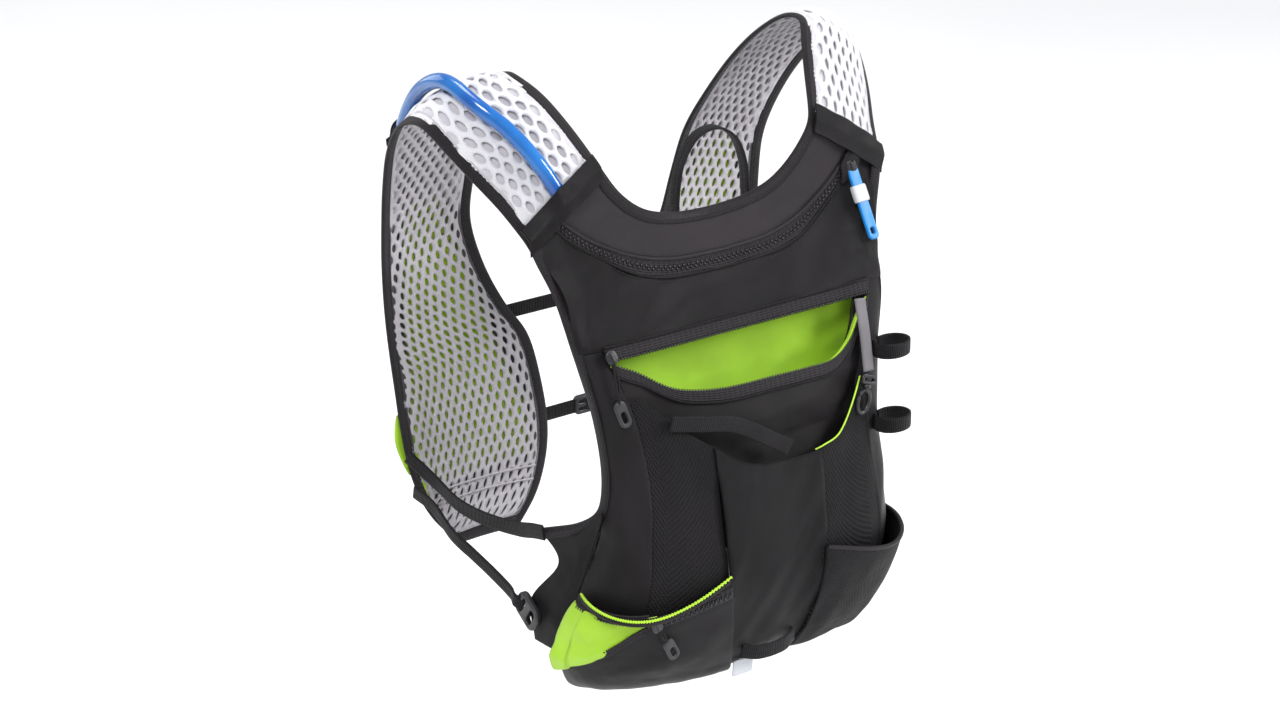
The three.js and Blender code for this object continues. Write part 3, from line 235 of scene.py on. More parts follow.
def skin_at(place, drop, lift=0.0):
    """The pack's outer skin. place runs from -1 to 1 across the back, drop is a share of the height."""
    place, drop = np.broadcast_arrays(np.asarray(place, float), np.asarray(drop, float))
    return skin_base(place, drop) + skin_normal(place, drop) * np.asarray(lift, float)[..., None]


def back_at(share_across, drop, lift=0.0):
    """The hollowed panel against the wearer's back, from -1 to 1 across."""
    width = column(PACK, 1, 0, drop) * SHOULDER_HALF - 3
    side = column(PACK, 2, 0, drop) * BACK_REACH
    hollow = 8 * (1 - share_across ** 2)
    return np.stack(np.broadcast_arrays(share_across * width, -side + 4.2 + hollow + lift,
                                        -drop * VEST_HEIGHT), -1)


def reservoir_drop(place):
    return column(RESERVOIR_LINE, 1, 0, np.abs(place))


def yoke_base(across, down):
    """The yoke from the neck's curve, down 0, to the closed zip, down 1."""
    top = neck_curve.at(np.abs(across))
    top = top * np.stack([np.sign(across), np.ones_like(across), np.ones_like(across)], -1)
    place = across * YOKE_END
    d = np.asarray(down, float)[..., None]
    return top * (1 - d) + skin_base(place, reservoir_drop(place)) * d


def yoke_at(across, down, lift=0.0):
    across, down = np.broadcast_arrays(np.asarray(across, float), np.asarray(down, float))
    inside = np.clip(across, -0.98, 0.98)
    along = yoke_base(inside + 0.01, down) - yoke_base(inside - 0.01, down)
    fall = yoke_base(inside, np.ones_like(down)) - yoke_base(inside, np.zeros_like(down))
    normal = unit(np.cross(fall, along))
    return yoke_base(across, down) + normal * np.asarray(lift, float)[..., None]


def yoke_height(across):
    across = np.asarray(across, float)
    ones = np.ones_like(across)
    return np.linalg.norm(yoke_base(across, 0 * ones) - yoke_base(across, ones), axis=-1)


def wing_at(forward, down, lift=0.0):
    """The right wing, from the pack's edge forward and from its top down."""
    back = np.stack([column(WING, 2, 0, down) * SHOULDER_HALF, column(WING, 3, 0, down) * BACK_REACH,
                     -column(WING, 1, 0, down) * VEST_HEIGHT], -1)
    front = np.stack([column(WING, 4, 0, down) * SHOULDER_HALF, column(WING, 5, 0, down) * BACK_REACH,
                      -column(WING, 6, 0, down) * VEST_HEIGHT], -1)
    f = np.asarray(forward, float)[..., None]
    point = back * (1 - f) + front * f
    point[..., 0] += lift
    return point


def place_from_edge(drop, distance):
    """The place on the skin that lies a distance in from the edge, along the section."""
    places = np.linspace(1, 0.2, 201)
    drop = np.asarray(drop, float)
    flat = drop.reshape(-1)
    far = np.broadcast_to(np.asarray(distance, float), drop.shape).reshape(-1)
    edge = skin_base(np.ones_like(flat), flat)
    line = skin_base(places[:, None] * np.ones_like(flat), flat[None, :] * np.ones((201, 1)))
    covered = np.linalg.norm(line - edge[None], axis=-1)
    out = np.array([np.interp(far[k], covered[:, k], places) for k in range(len(flat))])
    return out.reshape(drop.shape)


def share(length):
    return length / VEST_HEIGHT


def smooth(low, high, value):
    """0 below low, 1 above high, and a soft step between."""
    t = np.clip((value - low) / (high - low), 0, 1)
    return t * t * (3 - 2 * t)


CELLS = 24
lattice = np.random.default_rng(7).random((CELLS, CELLS, CELLS))


def noise(points, size, seed=0):
    """Smooth noise from -1 to 1 over points, with features of a size."""
    p = points / size + seed * 3.71
    i = np.floor(p).astype(int)
    f = p - i
    f = f * f * (3 - 2 * f)
    total = 0
    for dx in (0, 1):
        for dy in (0, 1):
            for dz in (0, 1):
                weight = (np.where(dx, f[..., 0], 1 - f[..., 0]) * np.where(dy, f[..., 1], 1 - f[..., 1])
                          * np.where(dz, f[..., 2], 1 - f[..., 2]))
                corner = (i + np.array([dx, dy, dz])) % CELLS
                total = total + weight * lattice[corner[..., 0], corner[..., 1], corner[..., 2]]
    return total * 2 - 1


# Meshes
def make_object(name, points, faces, uvs=None, smooth_shade=True):
    """A mesh object from points and uvs in millimetres."""
    mesh = bpy.data.meshes.new(name)
    mesh.from_pydata((np.asarray(points, float) * MM).tolist(), [], faces)
    if uvs is not None:
        layer = mesh.uv_layers.new(name="UVMap")
        corner = np.empty(len(mesh.loops), np.int32)
        mesh.loops.foreach_get("vertex_index", corner)
        layer.data.foreach_set("uv", (np.asarray(uvs, float) * MM)[corner].astype(np.float32).ravel())
    mesh.polygons.foreach_set("use_smooth", [smooth_shade] * len(mesh.polygons))
    mesh.validate()
    mesh.update()
    obj = bpy.data.objects.new(name, mesh)
    bpy.context.scene.collection.objects.link(obj)
    return obj


def outward(points, faces):
    """The faces turned so that the closed mesh's volume is positive."""
    p = np.asarray(points, float)
    volume = 0.0
    for size in {len(face) for face in faces}:
        f = np.array([face for face in faces if len(face) == size])
        for k in range(1, size - 1):
            volume += np.einsum("ij,ij->", p[f[:, 0]], np.cross(p[f[:, k]], p[f[:, k + 1]]))
    return faces if volume > 0 else [tuple(reversed(f)) for f in faces]


def sheet_mesh(name, surface, rows, columns, thickness):
    """A closed sheet of cloth. surface(s, t, lift) gives points; s runs down and t across."""
    s = np.linspace(0, 1, rows)[:, None] * np.ones(columns)
    t = np.ones((rows, 1)) * np.linspace(0, 1, columns)
    front, back = surface(s, t, thickness / 2), surface(s, t, -thickness / 2)
    middle = (front + back) / 2
    down = np.zeros((rows, columns))
    across = np.zeros((rows, columns))
    down[1:] = np.cumsum(np.linalg.norm(np.diff(middle, axis=0), axis=-1), axis=0)
    across[:, 1:] = np.cumsum(np.linalg.norm(np.diff(middle, axis=1), axis=-1), axis=1)
    across -= across[:, -1:] / 2
    uv = np.stack([across, down], -1).reshape(-1, 2)
    count = rows * columns
    points = np.concatenate([front.reshape(-1, 3), back.reshape(-1, 3)])
    faces = []
    for i in range(rows - 1):
        for j in range(columns - 1):
            a = i * columns + j
            ring = (a, a + columns, a + columns + 1, a + 1)
            faces.append(ring)
            faces.append(tuple(v + count for v in reversed(ring)))
            at_rim = (j == 0, i == rows - 2, j == columns - 2, i == 0)
            for k in range(4):
                if at_rim[k]:
                    a, b = ring[k], ring[(k + 1) % 4]
                    faces.append((b, a, a + count, b + count))
    return make_object(name, points, outward(points, faces), np.concatenate([uv, uv]))


def frames_along(points, up):
    """Side and normal along a line of points. up is near the normal."""
    tangent = unit(np.gradient(points, axis=0))
    side = unit(np.cross(tangent, up))
    return side, np.cross(side, tangent)


def loft(name, rings):
    """A closed tube through rings of points, all with the same count."""
    rings = np.asarray(rings, float)
    rows, columns = rings.shape[:2]
    points = rings.reshape(-1, 3)
    faces = []
    for i in range(rows - 1):
        for j in range(columns):
            k = (j + 1) % columns
            faces.append((i * columns + j, i * columns + k, (i + 1) * columns + k, (i + 1) * columns + j))
    faces.append(tuple(reversed(range(columns))))
    faces.append(tuple(range((rows - 1) * columns, rows * columns)))
    down, around = run_of(rings.mean(axis=1)), run_of(rings[0])
    uv = np.stack(np.broadcast_arrays(around, down[:, None]), -1).reshape(-1, 2)
    return make_object(name, points, outward(points, faces), uv)


def tape(name, edge, inner, normal, thickness, sides=14, flat=2.6, groove=0.0):
    """A folded band between an outer edge and an inner edge, with rounded sides. A higher flat is squarer."""
    angle = np.linspace(0, 2 * math.pi, sides, endpoint=False)
    c, s = np.cos(angle), np.sin(angle)
    across = np.sign(c) * np.abs(c) ** (2 / flat)
    high = np.sign(s) * np.abs(s) ** (2 / flat)
    high = high * (1 - groove * np.exp(-((across + 0.55) / 0.22) ** 2))
    middle, half = (edge + inner) / 2, (edge - inner) / 2
    up = normal * (thickness / 2)
    rings = middle[:, None] + half[:, None] * across[None, :, None] + up[:, None] * high[None, :, None]
    return loft(name, rings)


def cord_mesh(name, points, radius, sides):
    """A round cord along points. radius may vary along it."""
    points = np.asarray(points, float)
    side, normal = frames_along(points, np.array([0.13, 0.31, 0.94]))
    angle = np.linspace(0, 2 * math.pi, sides, endpoint=False)
    radius = np.broadcast_to(np.asarray(radius, float), (len(points),))[:, None, None]
    ring = np.cos(angle)[None, :, None] * side[:, None] + np.sin(angle)[None, :, None] * normal[:, None]
    return loft(name, points[:, None] + ring * radius)


def ribbon(name, points, side, width, thickness):
    """Flat webbing along points, with side as the direction of its width."""
    points = np.asarray(points, float)
    tangent = unit(np.gradient(points, axis=0))
    side = np.broadcast_to(np.asarray(side, float), points.shape)
    side = unit(side - tangent * (side * tangent).sum(-1, keepdims=True))
    normal = np.cross(tangent, side)
    return tape(name, points + side * width / 2, points - side * width / 2, normal, thickness, 10, 4.5)


def resample(points, count):
    """A smooth line through points, evenly spaced."""
    line = Rail(points).at(np.linspace(0, 1, 40 * len(points)))
    run = run_of(line)
    return read_run(line, run, np.linspace(0, run[-1], count))


def dots(name, places, along, up, size):
    """Many small rounded bars at places, such as stitches or zip teeth. size is length, width, height."""
    length, width, height = size
    sides = 6
    angle = np.linspace(0, 2 * math.pi, sides, endpoint=False)
    stations = ((-0.5, 0.35), (-0.36, 0.9), (0.36, 0.9), (0.5, 0.35))
    along = unit(along)
    side = unit(np.cross(along, up))
    up = np.cross(side, along)
    rings = []
    for x, wide in stations:
        ring = (places[:, None] + along[:, None] * (x * length)
                + side[:, None] * (np.cos(angle) * wide * width / 2)[None, :, None]
                + up[:, None] * (np.sin(angle) * wide * height / 2)[None, :, None])
        rings.append(ring)
    points = np.stack(rings, 1).reshape(-1, 3)
    faces = []
    per = len(stations) * sides
    for n in range(len(places)):
        base = n * per
        for i in range(len(stations) - 1):
            for j in range(sides):
                k = (j + 1) % sides
                a, b = base + i * sides, base + (i + 1) * sides
                faces.append((a + j, b + j, b + k, a + k))
        faces.append(tuple(base + j for j in range(sides)))
        faces.append(tuple(base + per - sides + j for j in reversed(range(sides))))
    return make_object(name, points, outward(points, faces))


def stitch_line(points, normal, pitch, lift=0.0):
    """Places, ways and normals for a row of stitches or teeth along a line."""
    run = run_of(points)
    at = np.arange(pitch / 2, run[-1], pitch)
    up = unit(read_run(np.broadcast_to(normal, points.shape), run, at))
    return read_run(points, run, at) + up * lift, unit(read_run(np.gradient(points, axis=0), run, at)), up


def join(name, objects):
    """One object out of several."""
    bpy.ops.object.select_all(action="DESELECT")
    for o in objects:
        o.select_set(True)
    bpy.context.view_layer.objects.active = objects[0]
    bpy.ops.object.join()
    obj = bpy.context.view_layer.objects.active
    obj.name = name
    obj.data.name = name
    return obj


def open_net(name, surface, low, high, length, pitch, hole, thickness):
    """An open net of staggered long holes. surface(x, v, lift) takes millimetres across and along. It lies
    between low and high(v). Each cell is a long hexagon with one oval hole."""
    wide, tall = pitch
    straight = 0.42 * tall
    point_high = tall - straight
    half_w, half_s, half_h = wide / 2, straight / 2, straight / 2 + point_high
    corners = [(0, half_h), (half_w, half_s), (half_w, -half_s), (0, -half_h), (-half_w, -half_s),
               (-half_w, half_s)]
    outline = []
    for k, (x, y) in enumerate(corners):
        nx, ny = corners[(k + 1) % 6]
        outline += [(x, y), ((x + nx) / 2, (y + ny) / 2)]
    angles = [math.atan2(y / half_h, x / half_w) for x, y in outline]
    ring = [(math.cos(a) * hole[0] / 2, math.sin(a) * hole[1] / 2) for a in angles]
    rim = 0.8
    keys, flat_points, front = {}, [], []

    def vertex(x, v):
        v = min(max(v, 0), length)
        x = min(max(x, low), high(v))
        key = (round(x, 2), round(v, 2))
        if key not in keys:
            keys[key] = len(flat_points)
            flat_points.append((x, v))
        return keys[key]

    rows = int(length / tall) + 2
    for r in range(-1, rows):
        v = r * tall
        shift = half_w if r % 2 else 0
        columns = int(max(high(min(max(v, 0), length)), 1) / wide) + 2
        for c in range(-1, columns):
            x = c * wide + shift
            bound = [vertex(x + dx, v + dy) for dx, dy in outline]
            inside = min(max(v, 0), length)
            room_x = low + hole[0] / 2 + rim < x < high(inside) - hole[0] / 2 - rim
            room_v = hole[1] / 2 + rim < v < length - hole[1] / 2 - rim
            if room_x and room_v:
                inner = [vertex(x + dx, v + dy) for dx, dy in ring]
                for k in range(12):
                    m = (k + 1) % 12
                    front.append((bound[k], bound[m], inner[m], inner[k]))
            else:
                loop = [b for k, b in enumerate(bound) if b != bound[k - 1]]
                if len(set(loop)) >= 3:
                    front.append(tuple(dict.fromkeys(loop)))
    flat = np.array(flat_points)

    def area(face):
        p = flat[list(face)]
        return 0.5 * abs(np.dot(p[:, 0], np.roll(p[:, 1], -1)) - np.dot(p[:, 1], np.roll(p[:, 0], -1)))

    front = [face for face in front if area(face) > 0.02]
    used = dict.fromkeys((face[k], face[(k + 1) % len(face)]) for face in front for k in range(len(face)))
    count = len(flat)
    walls = [(b, a, a + count, b + count) for a, b in used if (b, a) not in used]
    back = [tuple(v + count for v in reversed(face)) for face in front]
    x, v = flat[:, 0], flat[:, 1]
    points = np.concatenate([surface(x, v, thickness / 2), surface(x, v, -thickness / 2)])
    faces = front + back + walls
    return make_object(name, points, outward(points, faces), np.concatenate([flat, flat]))


def mirror(obj, name):
    """The same piece on the other side."""
    mesh = obj.data.copy()
    mesh.transform(Matrix.Scale(-1, 4, Vector((1, 0, 0))))
    mesh.flip_normals()
    copy = bpy.data.objects.new(name, mesh)
    mesh.name = name
    bpy.context.scene.collection.objects.link(copy)
    return copy


def finish_piece(obj, material, slot, *nodes):
    """Dresses a piece, ties it to the body and hides the solids it stands for."""
    obj.data.materials.clear()
    obj.data.materials.append(material)
    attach(obj, "root")
    if nodes:
        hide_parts(*nodes)
    return obj


def finish_pair(obj, material, slot, node=None):
    """Dresses a piece of the right side and its mirror image on the left."""
    pair = (obj, mirror(obj, obj.name.replace("_right", "_left")))
    for piece, side in zip(pair, ("_right", "_left")):
        finish_piece(piece, material, slot, *([node + side] if node else []))
    return pair


# Materials, in metres
def linear(text):
    values = [int(text[k:k + 2], 16) / 255 for k in (1, 3, 5)]
    return tuple(v / 12.92 if v <= 0.04045 else ((v + 0.055) / 1.055) ** 2.4 for v in values) + (1.0,)


def scaled(colour, factor):
    return tuple(min(c * factor, 1) for c in colour[:3]) + (1.0,)


class Nodes:
    """A small helper that links shader nodes."""

    def __init__(self, name):
        self.material = bpy.data.materials.new(name)
        self.material.use_nodes = True
        self.tree = self.material.node_tree
        self.shader = self.tree.nodes["Principled BSDF"]

    def add(self, kind, **values):
        node = self.tree.nodes.new(kind)
        for key, value in values.items():
            setattr(node, key, value)
        return node

    def feed(self, value, socket):
        if isinstance(value, (int, float, tuple)):
            socket.default_value = value
        else:
            self.tree.links.new(value, socket)

    def math(self, operation, a, b=0.0):
        node = self.add("ShaderNodeMath", operation=operation)
        self.feed(a, node.inputs[0])
        self.feed(b, node.inputs[1])
        return node.outputs[0]

    def ramp(self, value, low, high):
        node = self.add("ShaderNodeMapRange", interpolation_type="SMOOTHSTEP")
        self.feed(value, node.inputs[0])
        node.inputs[1].default_value = low
        node.inputs[2].default_value = high
        return node.outputs[0]

    def mix(self, factor, a, b):
        node = self.add("ShaderNodeMix", data_type="RGBA")
        self.feed(factor, node.inputs[0])
        self.feed(a, node.inputs[6])
        self.feed(b, node.inputs[7])
        return node.outputs[2]

    def place(self):
        return self.add("ShaderNodeTexCoord").outputs["Object"]

    def split(self, vector):
        node = self.add("ShaderNodeSeparateXYZ")
        self.tree.links.new(vector, node.inputs[0])
        return node.outputs

    def noise(self, scale, detail=3.0):
        node = self.add("ShaderNodeTexNoise")
        node.inputs["Scale"].default_value = scale
        node.inputs["Detail"].default_value = detail
        self.tree.links.new(self.place(), node.inputs["Vector"])
        return node.outputs[0]

    def wave(self, value, pitch):
        return self.math("SINE", self.math("MULTIPLY", value, 2 * math.pi / pitch))

    def sum(self, a, b, share_of_b):
        return self.math("ADD", a, self.math("MULTIPLY", b, share_of_b))

    def bump(self, height, distance):
        node = self.add("ShaderNodeBump")
        node.inputs["Strength"].default_value = 1.0
        node.inputs["Distance"].default_value = distance
        self.feed(height, node.inputs["Height"])
        self.tree.links.new(node.outputs[0], self.shader.inputs["Normal"])

    def set(self, **values):
        for key, value in values.items():
            self.shader.inputs[key.replace("_", " ")].default_value = value


def cloth(name, colour, weave, pitch, rough, sheen, depth, light=1.25, dark=0.8, fleck=0.15, zones=(),
          specular=0.35):
    """Cloth with a weave at its real pitch, slow colour variation and uneven gloss."""
    n = Nodes(name)
    base = linear(colour)
    lighter, darker = scaled(base, light), scaled(base, dark)
    tone = n.mix(n.ramp(n.noise(26), 0.3, 0.7), darker, lighter)
    u, v = n.split(n.add("ShaderNodeTexCoord").outputs["UV"])[:2]
    if weave == "plain":
        height = n.math("MULTIPLY", n.wave(u, pitch), n.wave(v, pitch))
    elif weave == "twill":
        height = n.wave(n.math("ADD", u, v), pitch)
    elif weave == "rib":
        height = n.sum(n.wave(v, pitch), n.wave(u, pitch * 2.4), 0.35)
    elif weave == "knit":
        height = n.sum(n.wave(u, pitch), n.wave(v, pitch * 0.6), 0.8)
    else:
        slope = n.math("MULTIPLY", v, 0.6)
        height = n.math("MAXIMUM", n.wave(n.math("ADD", u, slope), pitch),
                        n.wave(n.math("SUBTRACT", u, slope), pitch))
    both = n.sum(height, n.noise(1400, 2.0), 0.8)
    colour_out = n.mix(fleck, tone, n.mix(n.ramp(both, -1.2, 2.0), darker, lighter))
    for zone_colour, mask in zones:
        colour_out = n.mix(mask(n), colour_out, linear(zone_colour))
    n.feed(colour_out, n.shader.inputs["Base Color"])
    n.feed(n.sum(rough - 0.1, n.noise(60), 0.2), n.shader.inputs["Roughness"])
    n.bump(both, depth)
    n.set(Sheen_Weight=sheen, Sheen_Roughness=0.45, Specular_IOR_Level=specular)
    return n.material


def plastic(name, colour, rough, light=1.2, coat=0.0):
    """Moulded plastic or rubber with a fine grain and faint scuffs."""
    n = Nodes(name)
    base = linear(colour)
    scuff = n.ramp(n.noise(90, 6.0), 0.5, 0.75)
    n.feed(n.mix(scuff, base, scaled(base, light)), n.shader.inputs["Base Color"])
    n.feed(n.sum(rough, scuff, 0.2), n.shader.inputs["Roughness"])
    n.bump(n.noise(2500, 2.0), 0.00003)
    n.set(Coat_Weight=coat)
    return n.material


def clear_tube(name, deep, colour):
    """Soft clear tube with slow changes of colour."""
    n = Nodes(name)
    n.feed(n.mix(n.ramp(n.noise(30), 0.3, 0.7), linear(deep), linear(colour)), n.shader.inputs["Base Color"])
    n.feed(n.sum(0.1, n.noise(50), 0.08), n.shader.inputs["Roughness"])
    n.set(Transmission_Weight=0.55, IOR=1.42, Coat_Weight=0.6)
    n.bump(n.noise(300), 0.00002)
    return n.material


# The panels' neck edge lies EDGE_X from the middle at the height EDGE_Z, and leans in from there
EDGE_X, EDGE_Z, EDGE_LEAN, EDGE_LEAST = 0.081, -0.123, 0.42, 0.022
FAR, SOFT = 0.2, 0.008


def zone(inner_from, inner_to, top_from, top_to, outer=0.18):
    """Part of the panels, from a distance in from the neck edge and from a depth down, out to a distance from
    the middle. It has a ragged upper edge."""
    def mask(n):
        x_of, _, z = n.split(n.place())
        x = n.math("ABSOLUTE", x_of)
        edge = n.sum(EDGE_X, n.math("ADD", z, -EDGE_Z), EDGE_LEAN)
        inside = n.ramp(n.math("SUBTRACT", x, n.math("MAXIMUM", edge, EDGE_LEAST)), inner_from, inner_to)
        out = n.ramp(n.math("SUBTRACT", FAR, x), FAR - outer, FAR + SOFT - outer)
        ragged = n.sum(n.math("MULTIPLY", z, -1.0), n.noise(40), 0.012)
        return n.math("MULTIPLY", n.math("MULTIPLY", inside, out), n.ramp(ragged, top_from, top_to))
    return mask


black = cloth("black_nylon", "#161315", "plain", 0.0006, 0.38, 0.01, 0.00006, specular=0.15)
gloss_black = cloth("centre_nylon", "#110F11", "plain", 0.0006, 0.36, 0.01, 0.00005, 1.2, 0.85, specular=0.11)
yoke_cloth = cloth("yoke_nylon", "#2B272A", "plain", 0.0007, 0.52, 0.03, 0.00007, 1.12, 0.88, specular=0.16)
ribbed = cloth("ribbed_net", "#131113", "net", 0.0022, 0.62, 0.02, 0.00035, 2.0, 0.5, 0.8, specular=0.12)
power_mesh = cloth("side_net", "#141214", "net", 0.0016, 0.60, 0.02, 0.00025, 1.6, 0.6, 0.6, specular=0.13)
binding_cloth = cloth("edge_tape", "#1E1A1D", "rib", 0.0011, 0.45, 0.03, 0.00016, 1.25, 0.82, 0.3,
                      specular=0.2)
webbing = cloth("black_webbing", "#171517", "rib", 0.0013, 0.55, 0.02, 0.0002, 1.5, 0.7, 0.4, specular=0.16)
grey_webbing = cloth("tether_webbing", "#6E6A70", "twill", 0.0012, 0.75, 0.2, 0.0002, fleck=0.4)
white_mesh = cloth("shoulder_spacer", "#F6F5FA", "knit", 0.0009, 0.85, 0.3, 0.00018, 1.05, 0.93, 0.3)
grey_mesh = cloth("inner_spacer", "#CAC6CB", "knit", 0.0009, 0.85, 0.3, 0.00018, 1.08, 0.9, 0.3)
core_cloth = cloth("core_knit", "#CFCCD3", "knit", 0.0008, 0.9, 0.2, 0.0001, 1.08, 0.9, zones=(
    ("#3C393D", zone(-0.05, -0.04, 0.112, 0.126)), ("#C4F02E", zone(0.012, 0.022, 0.106, 0.118, 0.133)),
    ("#6E6A70", zone(-0.05, -0.04, 0.298, 0.306))))
lime = cloth("lime_nylon", "#9FCD29", "plain", 0.0006, 0.55, 0.15, 0.00006, 1.1, 0.88)
lime_edge = cloth("lime_piping", "#B2E030", "rib", 0.0009, 0.6, 0.2, 0.0001, 1.1, 0.9)
zip_cloth = cloth("zip_tape", "#262326", "rib", 0.0016, 0.55, 0.03, 0.0003, 1.7, 0.55, 0.8, specular=0.18)
thread = cloth("thread", "#0F0E10", "twill", 0.0004, 0.6, 0.05, 0.00005)
teeth_plastic = plastic("zip_coil", "#121113", 0.30)
buckle_plastic = plastic("buckle_plastic", "#19181B", 0.38, coat=0.1)
pull_rubber = plastic("pull_rubber", "#242226", 0.48)
blue_rubber = plastic("blue_rubber", "#1679BF", 0.42, 1.25)
sleeve_rubber = plastic("grey_rubber", "#BBBDC1", 0.55, 1.1)
silver_tape = cloth("reflective_tape", "#CDD0D6", "net", 0.0014, 0.35, 0.0, 0.00012, 1.15, 0.85, 0.45)
tube_clear = clear_tube("blue_tube", "#1268C4", "#2E95E8")

# Cloth and webbing, in millimetres
SHELL, POCKET, LINING, ZIP_TAPE = 1.3, 1.2, 0.8, 1.0
STRAP_WIDTH, STRAP_THICKNESS = 10.0, 1.6

# Harness: a padded core between two open nets
ALONG = np.linspace(0, 1, 600)
ARC = run_of(harness_base(0.5, ALONG))


def harness_net(name, first, last, lift, pitch, hole, thickness):
    """A net between two shares of the harness's length. lift is how far it stands off between its edges."""
    start = float(np.interp(first, ALONG, ARC))
    length = float(np.interp(last, ALONG, ARC)) - start
    edge = BINDING_WIDTH * 0.5
    rise = 9.0

    def along_at(v):
        return np.interp(np.asarray(v, float) + start, ARC, ALONG)

    def surface(x, v, offset):
        width = harness_width(along_at(v))
        near = np.minimum(x, width - x) - BINDING_WIDTH * 0.75
        fade = smooth(0, rise, near) * smooth(-2, 7, v) * smooth(-2, 7, length - v)
        return harness_at(x / width, along_at(v), lift * fade + offset)

    def far_edge(v):
        return float(harness_width(along_at(v))) - edge

    return open_net(name, surface, edge, far_edge, length, pitch, hole, thickness)


def core_surface(s, t, offset):
    along = 0.005 + 0.967 * s
    edge = (BINDING_WIDTH - 1.2) / harness_width(along)
    across = edge + (1 - 2 * edge) * t
    point = harness_at(across, along)
    return harness_at(across, along, offset + 0.25 * noise(point, 16, 1))


for piece in finish_pair(sheet_mesh("harness_pad_right", core_surface, 150, 24, 2.6), core_cloth, "lining",
                         "harness"):
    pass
finish_pair(harness_net("panel_net_right", 0.015, 0.974, -2.9, (7.0, 6.9), (3.3, 6.6), 1.7), grey_mesh,
            "grey_mesh", "panel_mesh")
finish_pair(harness_net("shoulder_net_right", 0.0135, 0.503, 2.9, (8.0, 8.6), (4.3, 8.4), 1.9), white_mesh,
            "white_mesh", "shoulder_mesh")


def average(rows, window):
    """Rows smoothed over a window, with the ends kept."""
    kernel = np.hanning(window + 2)[1:-1]
    kernel /= kernel.sum()
    half = window // 2
    padded = np.concatenate([np.repeat(rows[:1], half, 0), rows, np.repeat(rows[-1:], half, 0)])
    return np.stack([np.convolve(padded[:, k], kernel, "valid") for k in range(rows.shape[1])], -1)


def even(lines, step):
    """Several lines that run together, resampled at an even step of the first and smoothed."""
    run = run_of(lines[0])
    at = np.linspace(0, run[-1], int(run[-1] / step))
    return [average(read_run(line, run, at), 9) for line in lines]


def flip(points):
    return points * np.array([-1, 1, 1])


def harness_edge(along, arm_side):
    """The harness's edge, a line a binding's width in from it, and the normal between them."""
    width = BINDING_WIDTH / harness_width(along)
    outer = np.ones_like(along) if arm_side else np.zeros_like(along)
    inner = 1 - width if arm_side else width
    return harness_at(outer, along), harness_at(inner, along), normal_of(harness_base, outer, along)


def binding(name, lines):
    return tape(name, lines[0], lines[1], unit(lines[2]), BINDING_THICKNESS, groove=0.35)


def binding_stitches(name, lines):
    """A row of stitches on each face of a binding."""
    rows = []
    for sign, face in ((1, "_outer"), (-1, "_inner")):
        line = lines[0] * 0.2 + lines[1] * 0.8
        place, way, up = stitch_line(line, unit(lines[2]), 3.1, sign * 1.15)
        rows.append(dots(name + face, place, way, up * sign, (2.2, 0.55, 0.45)))
    return join(name, rows)


# Neck binding, from one panel's bottom round the neck to the other's
BINDING_STEP = 2.6
round_neck = np.linspace(0.985, -0.985, 90)
neck_down = BINDING_WIDTH / yoke_height(round_neck)
yoke_inner = yoke_at(round_neck, neck_down)
yoke_lines = (yoke_at(round_neck, np.zeros_like(round_neck)), yoke_inner,
              unit(yoke_at(round_neck, neck_down, 1.0) - yoke_inner))
neck_lines = even([np.concatenate([a, b, flip(a)[::-1]]) for a, b in
                   zip(harness_edge(np.linspace(1, 0.02, 130), False), yoke_lines)], BINDING_STEP)
finish_piece(binding("neck_tape", neck_lines), binding_cloth, "binding", "neck_binding")
finish_piece(binding_stitches("neck_stitches", neck_lines), thread, "binding")

# Arm bindings, round the panel's bottom, over the shoulder and down the pack's edge to the wing
EDGE_TUCK = 2.0
PANEL_EDGE = BINDING_WIDTH + 3 * GAP
drops = np.linspace(0.18, 1.0, 240)
edge_table = {d: place_from_edge(drops, d) for d in (EDGE_TUCK, BINDING_WIDTH, PANEL_EDGE)}


def edge_place(drop, distance):
    return np.interp(drop, drops, edge_table[distance])


hem = np.linspace(BINDING_WIDTH * 0.4 / float(harness_width(1.0)), 1, 40)
hem_inner = np.minimum(hem, 1 - BINDING_WIDTH / float(harness_width(0.972)))
ones = np.ones_like(hem)
hem_lines = (harness_at(hem, ones), harness_at(hem_inner, 0.972 * ones), normal_of(harness_base, hem, ones))
strap_lines = harness_edge(np.linspace(0.952, 0.0, 170), True)
pack_drop = np.linspace(0.262, EDGE_END_DROP, 60)
pack_inner = edge_place(pack_drop, BINDING_WIDTH)
pack_lines = (skin_at(np.ones_like(pack_drop), pack_drop), skin_at(pack_inner, pack_drop),
              skin_normal(pack_inner, pack_drop))
forward = np.linspace(0.35, 1, 20)
wing_top = wing_at(forward, np.zeros_like(forward))
wing_lines = (wing_top, wing_top - np.array([0, 0, BINDING_WIDTH]), np.tile([1.0, 0, 0], (20, 1)))
arm_lines = even([np.concatenate(group) for group in zip(hem_lines, strap_lines, pack_lines, wing_lines)],
                 BINDING_STEP)
finish_pair(binding("arm_tape_right", arm_lines), binding_cloth, "binding", "arm_binding")
finish_pair(binding_stitches("arm_stitches_right", arm_lines), thread, "binding")


# Pack: sheets that follow the skin between places and drops
def patch(places, drops, lift, relief):
    """A patch of the skin between two places and two lines of drop, raised by a lift and a relief."""
    def limit(value, drop):
        return value(drop) if callable(value) else value

    nominal = [float(limit(p, np.array(0.5))) for p in places]

    def surface(s, t, offset):
        place = nominal[0] + (nominal[1] - nominal[0]) * t
        for _ in range(4):  # a place depends on the drop, and the drop on the place
            low = drops[1](place)
            down = np.where(low > 0.94, 1 - (1 - s) ** 1.8, s)
            drop = drops[0](place) * (1 - down) + low * down
            a, b = limit(places[0], drop), limit(places[1], drop)
            place = a + (b - a) * t
        return skin_at(place, drop, lift + offset + relief(skin_base(place, drop), s, t))

    return surface


